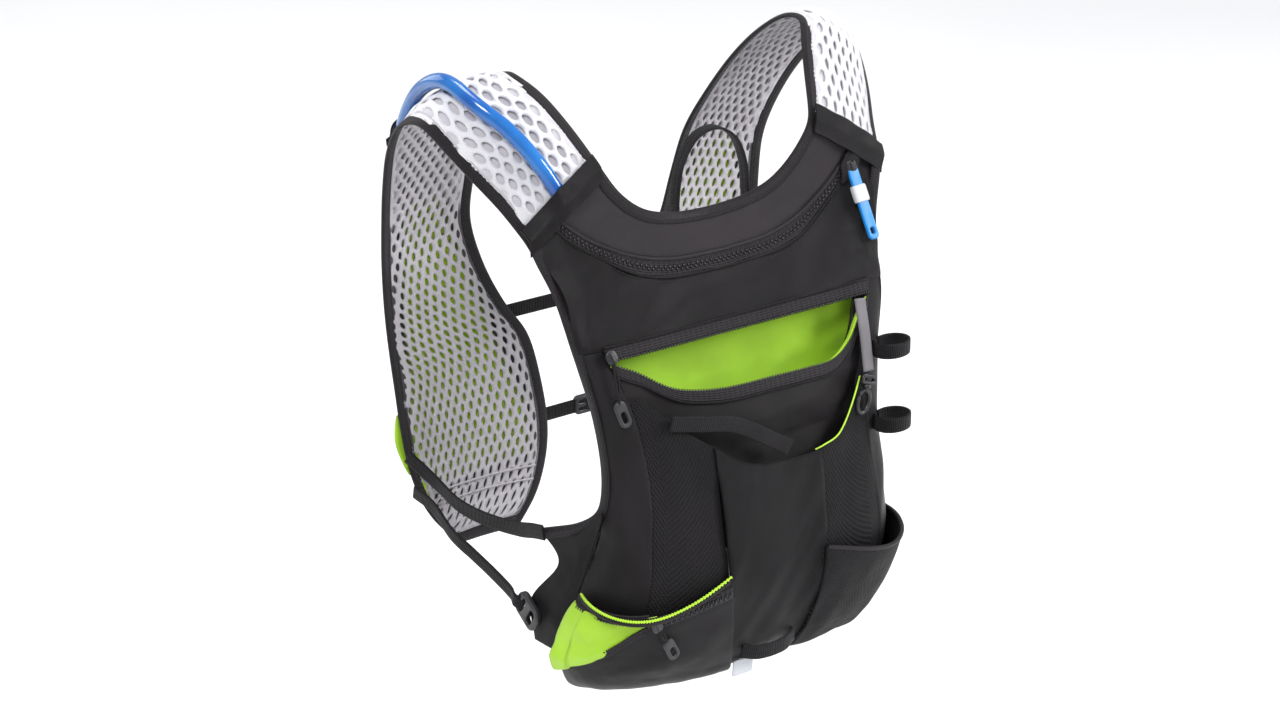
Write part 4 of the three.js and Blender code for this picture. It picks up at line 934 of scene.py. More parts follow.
def skin_piece(name, places, drops, lift, relief, grid, thickness):
    return sheet_mesh(name, patch(places, drops, lift, relief), *grid, thickness)


def level(drop):
    return lambda place: drop + 0 * place


def drop_line(line, turn=None):
    """The drop along a table's line. turn changes the place first."""
    return lambda place: column(line, 1, 0, turn(place) if turn else place)


def below(drop_of, length):
    """A line some millimetres below another."""
    return lambda place: drop_of(place) + share(length)


lip_drop = drop_line(LIP_LINE)
stretch_drop = drop_line(STRETCH_LINE)
side_mouth = drop_line(SIDE_MOUTH_LINE, np.abs)
wing_zip_drop = drop_line(WING_ZIP_LINE, np.negative)
wing_lip_drop = drop_line(WING_LIP_LINE, np.negative)


def at_edge(drop):
    """The place beside the arm binding, and near the skin's edge below it."""
    past = smooth(EDGE_END_DROP + 0.04, EDGE_END_DROP + 0.10, drop)
    wide = edge_place(drop, PANEL_EDGE)
    return wide + (edge_place(drop, EDGE_TUCK) - wide) * past


def wide_right(drop):
    return edge_place(drop, EDGE_TUCK) * 0.5 + 0.5 * at_edge(drop)


def wide_left(drop):
    return -wide_right(drop)


def pinch(s, t, near=0.04, depth=0.8, sides=True):
    """How a panel dips to the seams along its edges."""
    down = np.exp(-(s / near) ** 2) + np.exp(-((1 - s) / near) ** 2)
    across = np.exp(-(t / near) ** 2) + np.exp(-((1 - t) / near) ** 2) if sides else 0
    return -depth * np.minimum(down + across, 1)


def folds(point, slope, long, short, seed):
    """Soft folds that run along a slope in the plane of the back."""
    c, s = math.cos(slope), math.sin(slope)
    x, z = point[..., 0], point[..., 2]
    turned = np.stack([(x * c + z * s) / long, (-x * s + z * c) / short, 0 * x], -1) * 10
    return noise(turned, 10, seed)


def crumple(point, amount, seed):
    """Small creases of three sizes."""
    fine = 0.18 * noise(point, 4, seed + 5)
    return amount * (noise(point, 22, seed) + 0.45 * noise(point, 9, seed + 3) + fine)


def yoke_surface(s, t, offset):
    across = -0.998 + 1.996 * t
    top = (BINDING_WIDTH - 1.0) / yoke_height(across)
    low = 1 - 4.2 / yoke_height(across)
    down = top + (low - top) * s
    point = yoke_at(across, down)
    fold = 1.3 * folds(point, 0.5, 34, 9, 2) * np.sin(math.pi * s)
    return yoke_at(across, down, offset + crumple(point, 0.35, 4) + fold + pinch(s, t, 0.08, 0.6, False))


finish_piece(sheet_mesh("yoke", yoke_surface, 40, 200, SHELL), yoke_cloth, "charcoal_cloth", "yoke_panel")


def seam_drop(place):
    """The drop of the shoulder seam, which slopes from the neck out to the arm."""
    neck, arm = harness_base(0.0, 0.0), harness_base(1.0, 0.0)
    x = np.abs(skin_base(place, -arm[2] / VEST_HEIGHT + 0 * place)[..., 0])
    along = np.clip((x - neck[0]) / (arm[0] - neck[0]), 0, 1)
    return share(-3.5 - neck[2] + along * (neck[2] - arm[2]))


def upper_top(place):
    zip_edge = reservoir_drop(place) + share(3.4)
    return np.where(np.abs(place) < 0.60, zip_edge, np.maximum(seam_drop(place), zip_edge))


def upper_relief(point, s, t):
    drape = 4.0 * folds(point, 0.62, 64, 18, 3) + 2.2 * folds(point, 0.25, 44, 11, 6)
    drape = drape + 2.4 * noise(point, 36, 5)
    bulge = 2.2 * np.sin(math.pi * s) ** 0.7
    return bulge + drape * np.sin(math.pi * s) ** 0.6 + crumple(point, 0.25, 8) + pinch(s, t, 0.05, 0.7)


finish_piece(skin_piece("upper", (wide_left, wide_right), (upper_top, level(UPPER_TAPE_DROP + 0.004)), 0.2,
                        upper_relief, (64, 200), SHELL), black, "black_cloth", "upper_panel")


# Zips: tapes with teeth
def zip_teeth(name, line, up, pitch=1.7, size=(1.0, 2.6, 1.2), closed=True):
    """A row of teeth. In a closed zip they lie in turn on either side of the line."""
    place, way, normal = stitch_line(line, up, pitch)
    if closed:
        sign = np.where(np.arange(len(place)) % 2 == 0, 1.0, -1.0)[:, None]
        place = place + unit(np.cross(way, normal)) * sign * 0.8
    return finish_piece(dots(name, place, way, normal, size), teeth_plastic, "zip_tape")


def zip_tape(name, ends, drop_of, half, lift, grid, thickness=ZIP_TAPE, shape=None, node=None):
    """A band along a line of drop, half its width to each side. shape(s) is its own rise across."""
    def surface(s, t, offset):
        place = ends[0] + (ends[1] - ends[0]) * t
        drop = drop_of(place) + share(half) * (2 * s - 1)
        return skin_at(place, drop, lift + offset + (shape(s) if shape else 0))

    return finish_piece(sheet_mesh(name, surface, *grid, thickness), zip_cloth, "zip_tape",
                        *([node] if node else []))


def piping(name, line, radius, material, slot):
    return finish_piece(cord_mesh(name, line, radius, 8), material, slot)


places = np.linspace(-0.635, 0.635, 260)
zip_drop = reservoir_drop(places)
zip_up = skin_normal(places, zip_drop)
zip_tape("reservoir_tape", (-0.638, 0.638), reservoir_drop, 5.0, 0.6, (9, 160),
         shape=lambda s: 0.5 * np.cos(math.pi * (2 * s - 1) * 0.5), node="reservoir_zip")
zip_teeth("reservoir_teeth", skin_at(places, zip_drop, 1.9), zip_up)
piping("reservoir_fold_upper", average(skin_at(places, zip_drop - share(4.6), 1.3), 5), 1.15, yoke_cloth,
       "charcoal_cloth")
piping("reservoir_fold_lower", average(skin_at(places, zip_drop + share(4.6), 1.3), 5), 1.05, black,
       "black_cloth")

# Open pocket zip: the upper tape stays straight and the lower one sags
OPEN_PITCH, OPEN_TOOTH = 2.0, (1.1, 2.2, 1.5)
upper_edge = level(UPPER_TAPE_DROP)
upper_places = np.linspace(-LIP_END, LIP_END, 220)
zip_tape("pocket_upper_tape", (-LIP_END, LIP_END), below(upper_edge, 3.6), 3.8, 0.7, (7, 120),
         node="zip_pocket_upper_tape")
zip_teeth("pocket_upper_teeth", skin_at(upper_places, below(upper_edge, 7.2)(upper_places), 1.3),
          skin_normal(upper_places, level(0.41)(upper_places)), OPEN_PITCH, OPEN_TOOTH, False)
piping("pocket_upper_fold", skin_at(upper_places, below(upper_edge, -0.2)(upper_places), 1.2), 0.9, black,
       "black_cloth")
lip_ends = (-LIP_END + 0.012, LIP_END - 0.012)
lip_places = np.linspace(*lip_ends, 240)
lip_drops = lip_drop(lip_places)
zip_tape("pocket_lower_tape", lip_ends, below(lip_drop, 3.8), 3.9, 0.3, (7, 140),
         shape=lambda s: 0.8 * (1 - s), node="zip_pocket_lower_tape")
zip_teeth("pocket_lower_teeth", skin_at(lip_places, lip_drops, 1.3), skin_normal(lip_places, lip_drops),
          OPEN_PITCH, OPEN_TOOTH, False)
piping("pocket_lower_fold", skin_at(lip_places, lip_drops + share(7.6), 0.9), 0.9, black, "black_cloth")
piping("pocket_lip_lime", skin_at(lip_places, lip_drops + share(0.6), -0.6), 1.1, lime_edge, "lime_cloth")

POUCH_BOTTOM = 0.74
FRONT_LIFT = -6.0


def front_relief(point, s, t):
    rise = np.maximum(1 - 3 * s, 0) * 5.5
    return rise + crumple(point, 0.7, 11) * np.minimum(4 * s, 1) + 1.2 * folds(point, 0.1, 30, 10, 9)


finish_piece(skin_piece("pocket_front", lip_ends, (below(lip_drop, 7.0), level(POUCH_BOTTOM)), FRONT_LIFT,
                        front_relief, (60, 120), POCKET), black, "black_cloth", "zip_pocket_front")


def pouch_base(s, t):
    """The pouch from the upper tape down its back, round its bottom and up its front to the lip."""
    place = -(LIP_END - 0.02) + 2 * (LIP_END - 0.02) * t
    top = UPPER_TAPE_DROP + share(3)
    low = POUCH_BOTTOM - share(10)
    wall = np.abs(s - 0.5) * 2
    lip = lip_drop(place) + share(0.8)
    down = low + (np.where(s < 0.5, top, lip) - low) * np.maximum(wall - 0.16, 0) / 0.84
    rise = 5.6 * np.maximum(1 - 3 * (down - lip) / (low - lip), 0) * (s > 0.5)
    front = skin_at(place, down, FRONT_LIFT - 3.0 + rise)
    width = column(PACK, 1, 0, down) * SHOULDER_HALF - 3
    back = front.copy()
    back[..., 1] = back_at(front[..., 0] / width, down)[..., 1] - 6.5
    turn = np.clip((s - 0.42) / 0.16, 0, 1) * math.pi
    blend = ((1 - np.cos(turn)) / 2)[..., None]
    point = back * (1 - blend) + front * blend
    point[..., 2] -= 5 * np.sin(turn)
    return point


def pouch_surface(s, t, offset):
    point = pouch_base(s, t)
    normal = normal_of(lambda a, b: pouch_base(np.clip(a, 0, 1), np.clip(b, 0, 1)), s, t, 0.01)
    wave = 1.7 * folds(point, 0.4, 34, 12, 14) + crumple(point, 0.7, 12)
    hold = np.minimum(np.minimum(s, 1 - s) * 8, 1) * np.where(s > 0.45, 0.2, 1)
    return point + normal * (offset + wave * hold)[..., None]


finish_piece(sheet_mesh("pocket_lining", pouch_surface, 120, 90, LINING), lime, "lime_cloth",
             "zip_pocket_lining")


# Cloth flap over the end of the closed zip
def flap_surface(s, t, offset):
    place = 0.520 + 0.120 * t
    half = 9.5 * (1 - 0.45 * (1 - t) ** 4)
    drop = reservoir_drop(place) + share(half) * (2 * s - 1)
    rise = 2.6 + 1.6 * np.sin(math.pi * s) + 0.3 * np.sin(9 * t + 5 * s) * np.sin(math.pi * s)
    return skin_at(place, drop, rise + offset)


finish_piece(sheet_mesh("zip_flap", flap_surface, 24, 30, 1.1), black, "black_cloth")


# Stretch pocket
def mouth_swell(s, width):
    """How the cloth stands out at its open mouth. width is 1 where it stands out most."""
    return 5 * np.maximum(1 - 2.2 * s, 0) ** 2 * width


def panel_relief(point, s, t):
    sway = 1.7 * folds(point, 1.35, 60, 16, 21) + 1.2 * folds(point, 1.0, 40, 9, 22)
    sway = (sway + crumple(point, 0.2, 23)) * np.minimum(6 * (1 - s), 1)
    return mouth_swell(s, 1.0) + sway + pinch(s, t, 0.03, 0.5)


finish_piece(skin_piece("centre", (-PANEL_HALF - 0.002, PANEL_HALF + 0.002),
                        (stretch_drop, level(BOTTOM_DROP)), 0.2, panel_relief, (130, 56), SHELL), gloss_black,
             "black_cloth", "centre_panel")


def net_relief(side):
    def relief(point, s, t):
        lift = mouth_swell(s, 1 - (t if side > 0 else 1 - t) ** 2)
        pull = 1.2 * folds(point, 1.45 * side, 70, 13, 31 + side) + crumple(point, 0.15, 33)
        return lift + pull * np.minimum(5 * (1 - s), 1) * np.minimum(5 * s, 1) + pinch(s, t, 0.03, 0.5)
    return relief


NET_START = PANEL_HALF - 0.002
for name, side, ends in (("right", 1, (NET_START, LIP_END)), ("left", -1, (-LIP_END, -NET_START))):
    net = skin_piece("stretch_" + name, ends, (stretch_drop, level(0.94)), -0.6, net_relief(side), (110, 60),
                     POCKET)
    finish_piece(net, ribbed, "ribbed_mesh", "stretch_mesh_" + name)


def gusset_relief(point, s, t):
    pull = 1.5 * folds(point, 1.3, 60, 11, 41) + crumple(point, 0.4, 42)
    tuck = -6.5 * (1 - smooth(0.0, 0.16, t))
    return tuck + pull * np.minimum(6 * s, 1) * smooth(0, 0.25, t) + pinch(s, t, 0.05, 0.5, False)


finish_pair(skin_piece("gusset_right",
                       (LIP_END - 0.075, lambda d: 0.5 * (at_edge(d) + edge_place(d, EDGE_TUCK))),
                       (level(UPPER_TAPE_DROP - 0.004), level(BOTTOM_DROP - 0.01)), -0.4, gusset_relief,
                       (120, 44), POCKET), black, "ribbed_mesh", "side_gusset")

mouth_places = np.linspace(PANEL_HALF - 0.02, LIP_END - 0.10, 120)
mouth_share = np.clip((mouth_places - PANEL_HALF) / (LIP_END - PANEL_HALF), 0, 1)
piping("stretch_mouth_lime", skin_at(mouth_places, stretch_drop(mouth_places) - share(0.6),
                                     -0.2 + 5 * (1 - mouth_share ** 2)), 0.55, lime_edge, "lime_cloth")

# Side pockets
SIDE_LIFT = 2.4


def side_relief(point, s, t):
    swell = 8 * (1 - s) ** 1.5 * (4 * t * (1 - t)) ** 0.8
    sway = 1.5 * folds(point, 1.2, 44, 12, 51) + crumple(point, 0.6, 52)
    return swell + sway * np.minimum(5 * s, 1) * np.minimum(5 * (1 - s), 1)


SIDE_FOOT = SIDE_END + 0.01
SIDE_INNER = PANEL_HALF - 0.006
finish_piece(skin_piece("side_right", (SIDE_INNER, SIDE_FOOT), (side_mouth, level(BOTTOM_DROP)), SIDE_LIFT,
                        side_relief, (70, 110), POCKET), power_mesh, "ribbed_mesh", "side_pocket_right")
finish_piece(skin_piece("side_left", (-SIDE_FOOT, -SIDE_INNER), (side_mouth, below(wing_zip_drop, -2.6)),
                        SIDE_LIFT, lambda p, s, t: side_relief(p, s * 0.5, t) * (1 - s * 0.6),
                        (26, 110), POCKET), power_mesh, "ribbed_mesh", "side_pocket_left")


def side_mouth_line(sign, down):
    """A side pocket's mouth, on one side, and some millimetres down from it."""
    place = sign * np.linspace(PANEL_HALF, SIDE_END, 300)
    across = (np.abs(place) - PANEL_HALF) / (SIDE_END - PANEL_HALF)
    swell = 8 * np.maximum(4 * across * (1 - across), 0) ** 0.8
    return skin_at(place, side_mouth(place), SIDE_LIFT + swell) - np.array([0, 0, down])


piping("side_mouth_left", side_mouth_line(-1, 0), 0.85 + 0.3 * np.sin(np.arange(300) * 1.3), lime_edge,
       "lime_cloth")
piping("side_mouth_left_band", side_mouth_line(-1, 2.0), 1.3, binding_cloth, "binding")
piping("side_mouth_right", side_mouth_line(1, 0.6), 1.5, binding_cloth, "binding")

zip_tape("wing_tape", (-WING_ZIP_END, -PANEL_HALF), wing_zip_drop, 4.0, SIDE_LIFT + 0.9, (7, 60),
         node="wing_zip")
wing_places = np.linspace(-WING_ZIP_END, -PANEL_HALF, 90)
wing_drops = wing_zip_drop(wing_places)
zip_teeth("wing_teeth", skin_at(wing_places, wing_drops, SIDE_LIFT + 1.9),
          skin_normal(wing_places, wing_drops))


def lower_relief(point, s, t):
    sway = 1.6 * folds(point, 0.25, 50, 12, 61) + crumple(point, 0.7, 62)
    return sway * np.minimum(6 * (1 - s), 1) * np.minimum(5 * s, 1)


finish_piece(skin_piece("wing_lower", (-SIDE_FOOT, -SIDE_INNER),
                        (below(wing_lip_drop, 3.0), level(BOTTOM_DROP)), SIDE_LIFT, lower_relief, (60, 110),
                        POCKET), black, "black_cloth", "wing_pocket_lower")


def bag_relief(point, s, t):
    bulge = 7.0 * (1 - t) ** 2 * np.sin(math.pi * s) ** 0.6
    return bulge + 3.2 * folds(point, 0.9, 20, 7, 71) * np.sin(math.pi * s) + crumple(point, 1.5, 72)


finish_piece(skin_piece("wing_bag", (-SIDE_END - 0.02, -WING_ZIP_END + 0.05),
                        (below(wing_zip_drop, -3), below(wing_lip_drop, 8)), 0.8, bag_relief, (44, 50),
                        LINING), lime, "lime_cloth", "wing_pocket_lining")
open_places = np.linspace(-SIDE_END, -WING_ZIP_END, 90)
for name, drop_of, beside, lift in (("wing_open_upper", wing_zip_drop, -3.0, 0.6),
                                    ("wing_open_lower", below(wing_lip_drop, 1.6), 3.0, 0.8)):
    open_drops = drop_of(open_places)
    zip_tape(name + "_tape", (-SIDE_END, -WING_ZIP_END), below(drop_of, beside), 3.2, SIDE_LIFT + 0.2,
             (5, 50), 0.9)
    zip_teeth(name + "_teeth", skin_at(open_places, open_drops, SIDE_LIFT + lift),
              skin_normal(open_places, open_drops), OPEN_PITCH, (1.1, 2.0, 1.4), False)


def wing_surface(s, t, offset):
    forward = -0.10 + 1.10 * t
    height = wing_at(forward, 0 * forward)[..., 2] - wing_at(forward, 0 * forward + 1)[..., 2]
    ahead = smooth(-0.10, 0.36, forward)
    top = (BINDING_WIDTH - 1.0) / height * ahead - 0.05 * (1 - ahead)
    down = top + (1 - top) * s
    point = wing_at(forward, down)
    fold = 1.9 * noise(point * np.array([0.3, 1.0, 0.35]), 9, 81) + 0.5 * noise(point, 8, 82)
    point = wing_at(forward, down, offset + fold * np.sin(math.pi * t) * np.minimum(6 * s, 1) + 0.3)
    point[..., 2] += np.maximum(-down, 0) * height
    return point


finish_pair(sheet_mesh("wing_cloth_right", wing_surface, 50, 40, SHELL), black, "black_cloth", "wing")


# Back panel, quilted in channels
def back_surface(s, t, offset):
    across, drop = 2 * t - 1, 0.262 + 0.708 * s
    point = back_at(across, drop)
    channel = np.abs(((across + 1) * 2.5) % 1 - 0.5) * 2
    quilt = -2.2 * np.exp(-((1 - channel) / 0.13) ** 2)
    puff = quilt + 0.35 * noise(point, 14, 91)
    return back_at(across, drop, offset + np.where(offset > 0, puff, 0))


back = finish_piece(sheet_mesh("back_pad", back_surface, 120, 110, 3.4), grey_mesh, "grey_mesh", "back_panel")


# Shoulder seams, where the straps' cloth runs onto the pack
def seam_surface(rise):
    """A seam band with a rise in its middle, where the tube runs in under it."""
    def surface(s, t, offset):
        across = 0.018 + 0.962 * t
        bump = rise * np.exp(-((across - 0.5) / 0.11) ** 2)
        fall = smooth(0.45, 1.0, s)
        along = 0.020 * (1 - np.minimum(s / 0.62, 1))
        lift = 4.2 - 2.9 * fall + bump * (1 - 0.3 * smooth(0.1, 0.5, s)) * (1 - 0.8 * smooth(0.5, 1.0, s))
        lift = lift + 0.35 * np.sin(across * 19 + s * 5)
        point = harness_at(across, along, lift)
        point = point + np.array([0, -0.14, -0.99]) * (np.maximum(s - 0.62, 0) / 0.38 * 8)[..., None]
        return point + np.array([0.1, -0.75, 0.6]) * np.asarray(offset)
    return surface


finish_piece(sheet_mesh("seam_right", seam_surface(0.0), 40, 60, SHELL), black, "binding",
             "shoulder_seam_right")
seam_raised = sheet_mesh("seam_raised", seam_surface(6.5), 40, 60, SHELL)
seam_left = mirror(seam_raised, "seam_left")
bpy.data.objects.remove(seam_raised)
finish_piece(seam_left, black, "binding", "shoulder_seam_left")


# Straps, cords and small parts
def plate(name, width, length, thickness, holes=(), corner=0.3, bevel=0.5, waist=0.0):
    """A moulded plate with rounded edges and holes, flat in X and Y. holes are (y, width, height)."""
    steps = 12
    half_w, half_l, r = width / 2, length / 2, min(width, length) * corner
    outline = []
    for cx, cy, start in ((half_w - r, half_l - r, 0), (-half_w + r, half_l - r, 90),
                          (-half_w + r, -half_l + r, 180), (half_w - r, -half_l + r, 270)):
        for k in range(steps + 1):
            a = math.radians(start + 90 * k / steps)
            outline.append((cx + r * math.cos(a), cy + r * math.sin(a)))
    outline = [(x * (1 - waist * math.cos(math.pi * y / length) ** 2), y) for x, y in outline]
    loops = [outline]
    for y, wide, tall in holes:
        ring = []
        for k in range(32):
            a = 2 * math.pi * k / 32
            c, s = math.cos(a), math.sin(a)
            ring.append((wide / 2 * math.copysign(abs(c) ** 0.6, c),
                         y + tall / 2 * math.copysign(abs(s) ** 0.6, s)))
        loops.append(ring)
    curve = bpy.data.curves.new(name, "CURVE")
    curve.dimensions = "2D"
    curve.fill_mode = "BOTH"
    for loop in loops:
        spline = curve.splines.new("POLY")
        spline.points.add(len(loop) - 1)
        for point, (x, y) in zip(spline.points, loop):
            point.co = (x * MM, y * MM, 0, 1)
        spline.use_cyclic_u = True
    curve.extrude = (thickness / 2 - bevel) * MM
    curve.bevel_depth = bevel * MM
    curve.bevel_resolution = 3
    curve.offset = -bevel * MM
    holder = bpy.data.objects.new(name, curve)
    bpy.context.scene.collection.objects.link(holder)
    bpy.context.view_layer.update()
    mesh = bpy.data.meshes.new_from_object(holder)
    bpy.data.objects.remove(holder)
    mesh.name = name
    obj = bpy.data.objects.new(name, mesh)
    bpy.context.scene.collection.objects.link(obj)
    weld = obj.modifiers.new("weld", "WELD")
    weld.merge_threshold = 0.00001
    return obj


def apply_modifiers(obj):
    bpy.context.view_layer.update()
    mesh = bpy.data.meshes.new_from_object(obj.evaluated_get(bpy.context.evaluated_depsgraph_get()))
    obj.modifiers.clear()
    obj.data = mesh
    return obj


def set_between(obj, start, end, facing):
    """Moves a flat piece so that its length runs from start to end and its face looks along facing."""
    apply_modifiers(obj)
    y = unit(np.asarray(start, float) - np.asarray(end, float))
    x = unit(np.cross(y, facing))
    z = np.cross(x, y)
    middle = (np.asarray(start, float) + np.asarray(end, float)) / 2 * MM
    matrix = Matrix(((x[0], y[0], z[0], middle[0]), (x[1], y[1], z[1], middle[1]),
                     (x[2], y[2], z[2], middle[2]), (0, 0, 0, 1)))
    obj.data.transform(matrix)
    for polygon in obj.data.polygons:
        polygon.use_smooth = True
    obj.data.set_sharp_from_angle(angle=math.radians(35))
    return obj


def off(place, drop, lift):
    """One point off the skin."""
    return skin_at(np.array(float(place)), np.array(float(drop)), np.array(float(lift)))


def strap_piece(name, points, side, node, width=STRAP_WIDTH, thickness=STRAP_THICKNESS, material=webbing,
                slot="webbing"):
    return finish_piece(ribbon(name, points, side, width, thickness), material, slot, node)


BACKWARD = np.array([0.0, -1.0, 0.0])
UP = np.array([0.0, 0.0, 1.0])
RIGHT = np.array([1.0, 0.0, 0.0])

# Hang loop, a thin folded band that stands in an arch inside the neck
LOOP = np.array([(-1, -0.20), (-0.98, 0.15), (-0.80, 0.62), (-0.35, 0.94), (0.20, 1), (0.70, 0.82),
                 (0.96, 0.45), (1, 0.10), (1, -0.20)])
neck_bottom = neck_curve.at(0.0)
loop_points = np.stack([8 + LOOP[:, 0] * 27, neck_bottom[1] + 6.1 + 3 * LOOP[:, 1],
                        neck_bottom[2] + LOOP[:, 1] * 46], -1)
strap_piece("hang", resample(loop_points, 90), np.array([0, 1.0, 0]), "hang_loop", 9.0, 1.7)

# Drink tube and its keepers
TUBE = np.array([(0.50, 0.012, 0), (0.50, 0.055, 0.5), (0.50, 0.118, 1), (0.53, 0.176, 1), (0.60, 0.235, 1),
                 (0.66, 0.294, 1), (0.70, 0.353, 1), (0.70, 0.412, 1), (0.68, 0.471, 2), (0.66, 0.529, 7),
                 (0.64, 0.588, 11), (0.60, 0.647, 12)])
TUBE_REST = CORE_THICKNESS / 2 + LAYER_GAP + MESH_THICKNESS + GAP
TUBE_SEAT = TUBE_REST + TUBE_DIAMETER / 2
sink = np.array([-5.5, -0.8] + [0] * (len(TUBE) - 2))
tube_points = flip(harness_at(TUBE[:, 0], TUBE[:, 1], TUBE_SEAT + TUBE[:, 2] + sink))
tube_line = average(resample(tube_points, 260), 15)
finish_piece(cord_mesh("tube", tube_line, TUBE_DIAMETER / 2, 28), tube_clear, "tube", "drink_tube")
finish_piece(cord_mesh("tube_bore", tube_line[3:-3], TUBE_DIAMETER / 2 - 1.5, 20), blue_rubber, "tube")
tube_end = tube_points[-1]
way = unit(tube_points[-1] - tube_points[-2])
VALVE_LENGTH = 42
VALVE = np.array([(0, 5.4), (0.01, 6.8), (0.04, 7.2), (0.26, 7.5), (0.30, 7.2), (0.34, 6.2), (0.42, 6.0),
                  (0.6, 6.9), (0.82, 8.6), (0.9, 9.0), (0.96, 8.7), (0.99, 7.6), (1.0, 6.2)])
profile = Rail(np.column_stack([VALVE, np.zeros(len(VALVE))])).at(np.linspace(0, 1, 60))
valve_line = tube_end + way * (0.35 + profile[:, :1] * VALVE_LENGTH)
valve_side = unit(np.cross(way, UP))
valve_up = np.cross(valve_side, way)
angle = np.linspace(0, 2 * math.pi, 36, endpoint=False)
flatten = np.interp(profile[:, 0], [0, 0.45, 1], [1, 1, 0.72])[:, None, None]
valve_rings = valve_line[:, None] + profile[:, 1][:, None, None] * (
    np.cos(angle)[None, :, None] * valve_side + np.sin(angle)[None, :, None] * valve_up * flatten)
finish_piece(loft("valve", valve_rings), blue_rubber, "blue_rubber", "bite_valve")


def keeper(name, along, across, lift):
    """A band over the tube. lift is how far the tube stands off its seat there."""
    width = float(harness_width(np.array(along)))
    reach = TUBE_DIAMETER / 2 + GAP + 1.6
    k = np.linspace(-1.9, 1.9, 60)
    top = TUBE_SEAT + lift + reach * np.sqrt(np.maximum(1 - (k / 1.25) ** 2, 0)) * 1.03
    base = TUBE_REST + 1.2 + max(lift - 1, 0)
    points = flip(harness_at(across + k * reach / width, along + 0 * k, np.maximum(top, base)))
    ahead = flip(harness_at(np.array([across, across]), np.array([along, along + 0.02]), TUBE_SEAT + lift))
    strap_piece(name, average(points, 7), unit(ahead[1] - ahead[0]), "tube_" + name, 8.0, 1.3)


keeper("keeper_upper", 0.375, 0.70, 1)
keeper("keeper_lower", 0.600, 0.635, 11)


# Sternum straps with their ladder sliders
def sternum(name, along, node, slider_x):
    width = float(harness_width(np.array(along)))
    lift = BINDING_THICKNESS / 2 + 3 * GAP + 0.8
    end = harness_at(np.array(0.6 * BINDING_WIDTH / width), np.array(along), lift)
    rim = harness_at(np.array(0.0), np.array(along), lift)
    middle = np.array([0, rim[1] + 2, rim[2] - 1.0])
    points = resample([end, rim, middle, flip(rim), flip(end)], 70)
    strap_piece(name, points, UP, node)
    at = np.array([slider_x, rim[1] + 2, rim[2] - 0.8])
    slider = plate(name + "_slider", 15, 13, 4.0, ((2.6, 10, 2.2), (-2.6, 10, 2.2)), 0.25, 0.9)
    set_between(slider, at + UP, at - UP, np.array([0, 1.0, 0]))
    finish_piece(slider, buckle_plastic, "plastic")


sternum("sternum_upper", 0.665, "sternum_strap_upper", 8)
sternum("sternum_lower", 0.815, "sternum_strap_lower", 12)

# Side straps and their ladder locks
SIDE_UPPER = np.array([(0.848, 0.822, -0.694), (0.804, 0.640, -0.725), (0.800, 0.405, -0.742),
                       (0.782, 0.162, -0.744), (0.757, -0.110, -0.735), (0.758, -0.255, -0.722),
                       (0.760, -0.360, -0.714)])
SIDE_LOWER = np.array([(0.827, 0.812, -0.759), (0.818, 0.640, -0.768), (0.824, 0.415, -0.795),
                       (0.806, 0.250, -0.813), (0.791, 0.072, -0.831), (0.782, -0.080, -0.848),
                       (0.788, -0.130, -0.854), (0.766, -0.175, -0.861)])
for name, table, wide in (("side_upper", SIDE_UPPER, STRAP_WIDTH), ("side_lower", SIDE_LOWER, 9.0)):
    strap = ribbon(name + "_right", resample(table * REACH, 90), UP, wide, STRAP_THICKNESS)
    finish_pair(strap, webbing, "webbing", name.replace("side", "side_strap"))
lock_top = np.array([0.765 * SHOULDER_HALF, -0.13 * CHEST_REACH, -0.852 * VEST_HEIGHT])
lock_end = lock_top + np.array([0, -0.83, -0.55]) * 21.6
lock = plate("lock_right", 17.5, 23.5, 4.4, ((5.2, 11.5, 3.4), (-4.8, 11.5, 5.2)), 0.32, 1.1)
finish_pair(set_between(lock, lock_top, lock_end, RIGHT), buckle_plastic, "plastic", "ladder_lock")


# Front pockets, sewn on the panels' outer faces
def front_pocket_surface(s, t, offset):
    along = 0.50 + 0.462 * s
    rim = (BINDING_WIDTH * 0.7) / harness_width(along)
    bulge = 9 * (4 * t * (1 - t)) ** 0.6 * (1 - (1 - s) ** 3 * 0.35) * (1 - s ** 6)
    across = rim + (1 - 2 * rim) * t
    point = harness_at(across, along)
    fold = 0.8 * noise(point * np.array([1, 1, 0.4]), 10, 101) * np.minimum(4 * t * (1 - t) * 3, 1)
    near = np.minimum(np.minimum(t, 1 - t) * 12, 1)
    return harness_at(across, along, 1.2 + 1.4 * near + bulge + fold + offset)


finish_pair(sheet_mesh("front_pocket_cloth_right", front_pocket_surface, 90, 60, POCKET), power_mesh,
            "black_cloth", "front_pocket")
rim_t = np.linspace(0, 1, 90)
finish_pair(cord_mesh("front_pocket_rim_right", front_pocket_surface(0 * rim_t, rim_t, 0.3), 1.7, 10),
            lime_edge, "lime_cloth")

# Tether and snap hook
tether_points = resample([off(0.375, 0.418, 3.4), off(0.42, 0.47, 4.2), off(0.465, 0.528, 4.5)], 40)
strap_piece("tether", tether_points, np.array([1, 0.25, 0]), "key_tether", STRAP_WIDTH, 1.7, grey_webbing,
            "grey_webbing")
hook_top = off(0.465, 0.528, 4.5) + np.array([-1, -2, -GAP - 1])
hook_way = unit(np.array([-0.34, -0.11, -0.93]))
hook_side = unit(np.cross(hook_way, BACKWARD))


def hook_point(x, y):
    return hook_top + hook_side * x + hook_way * y


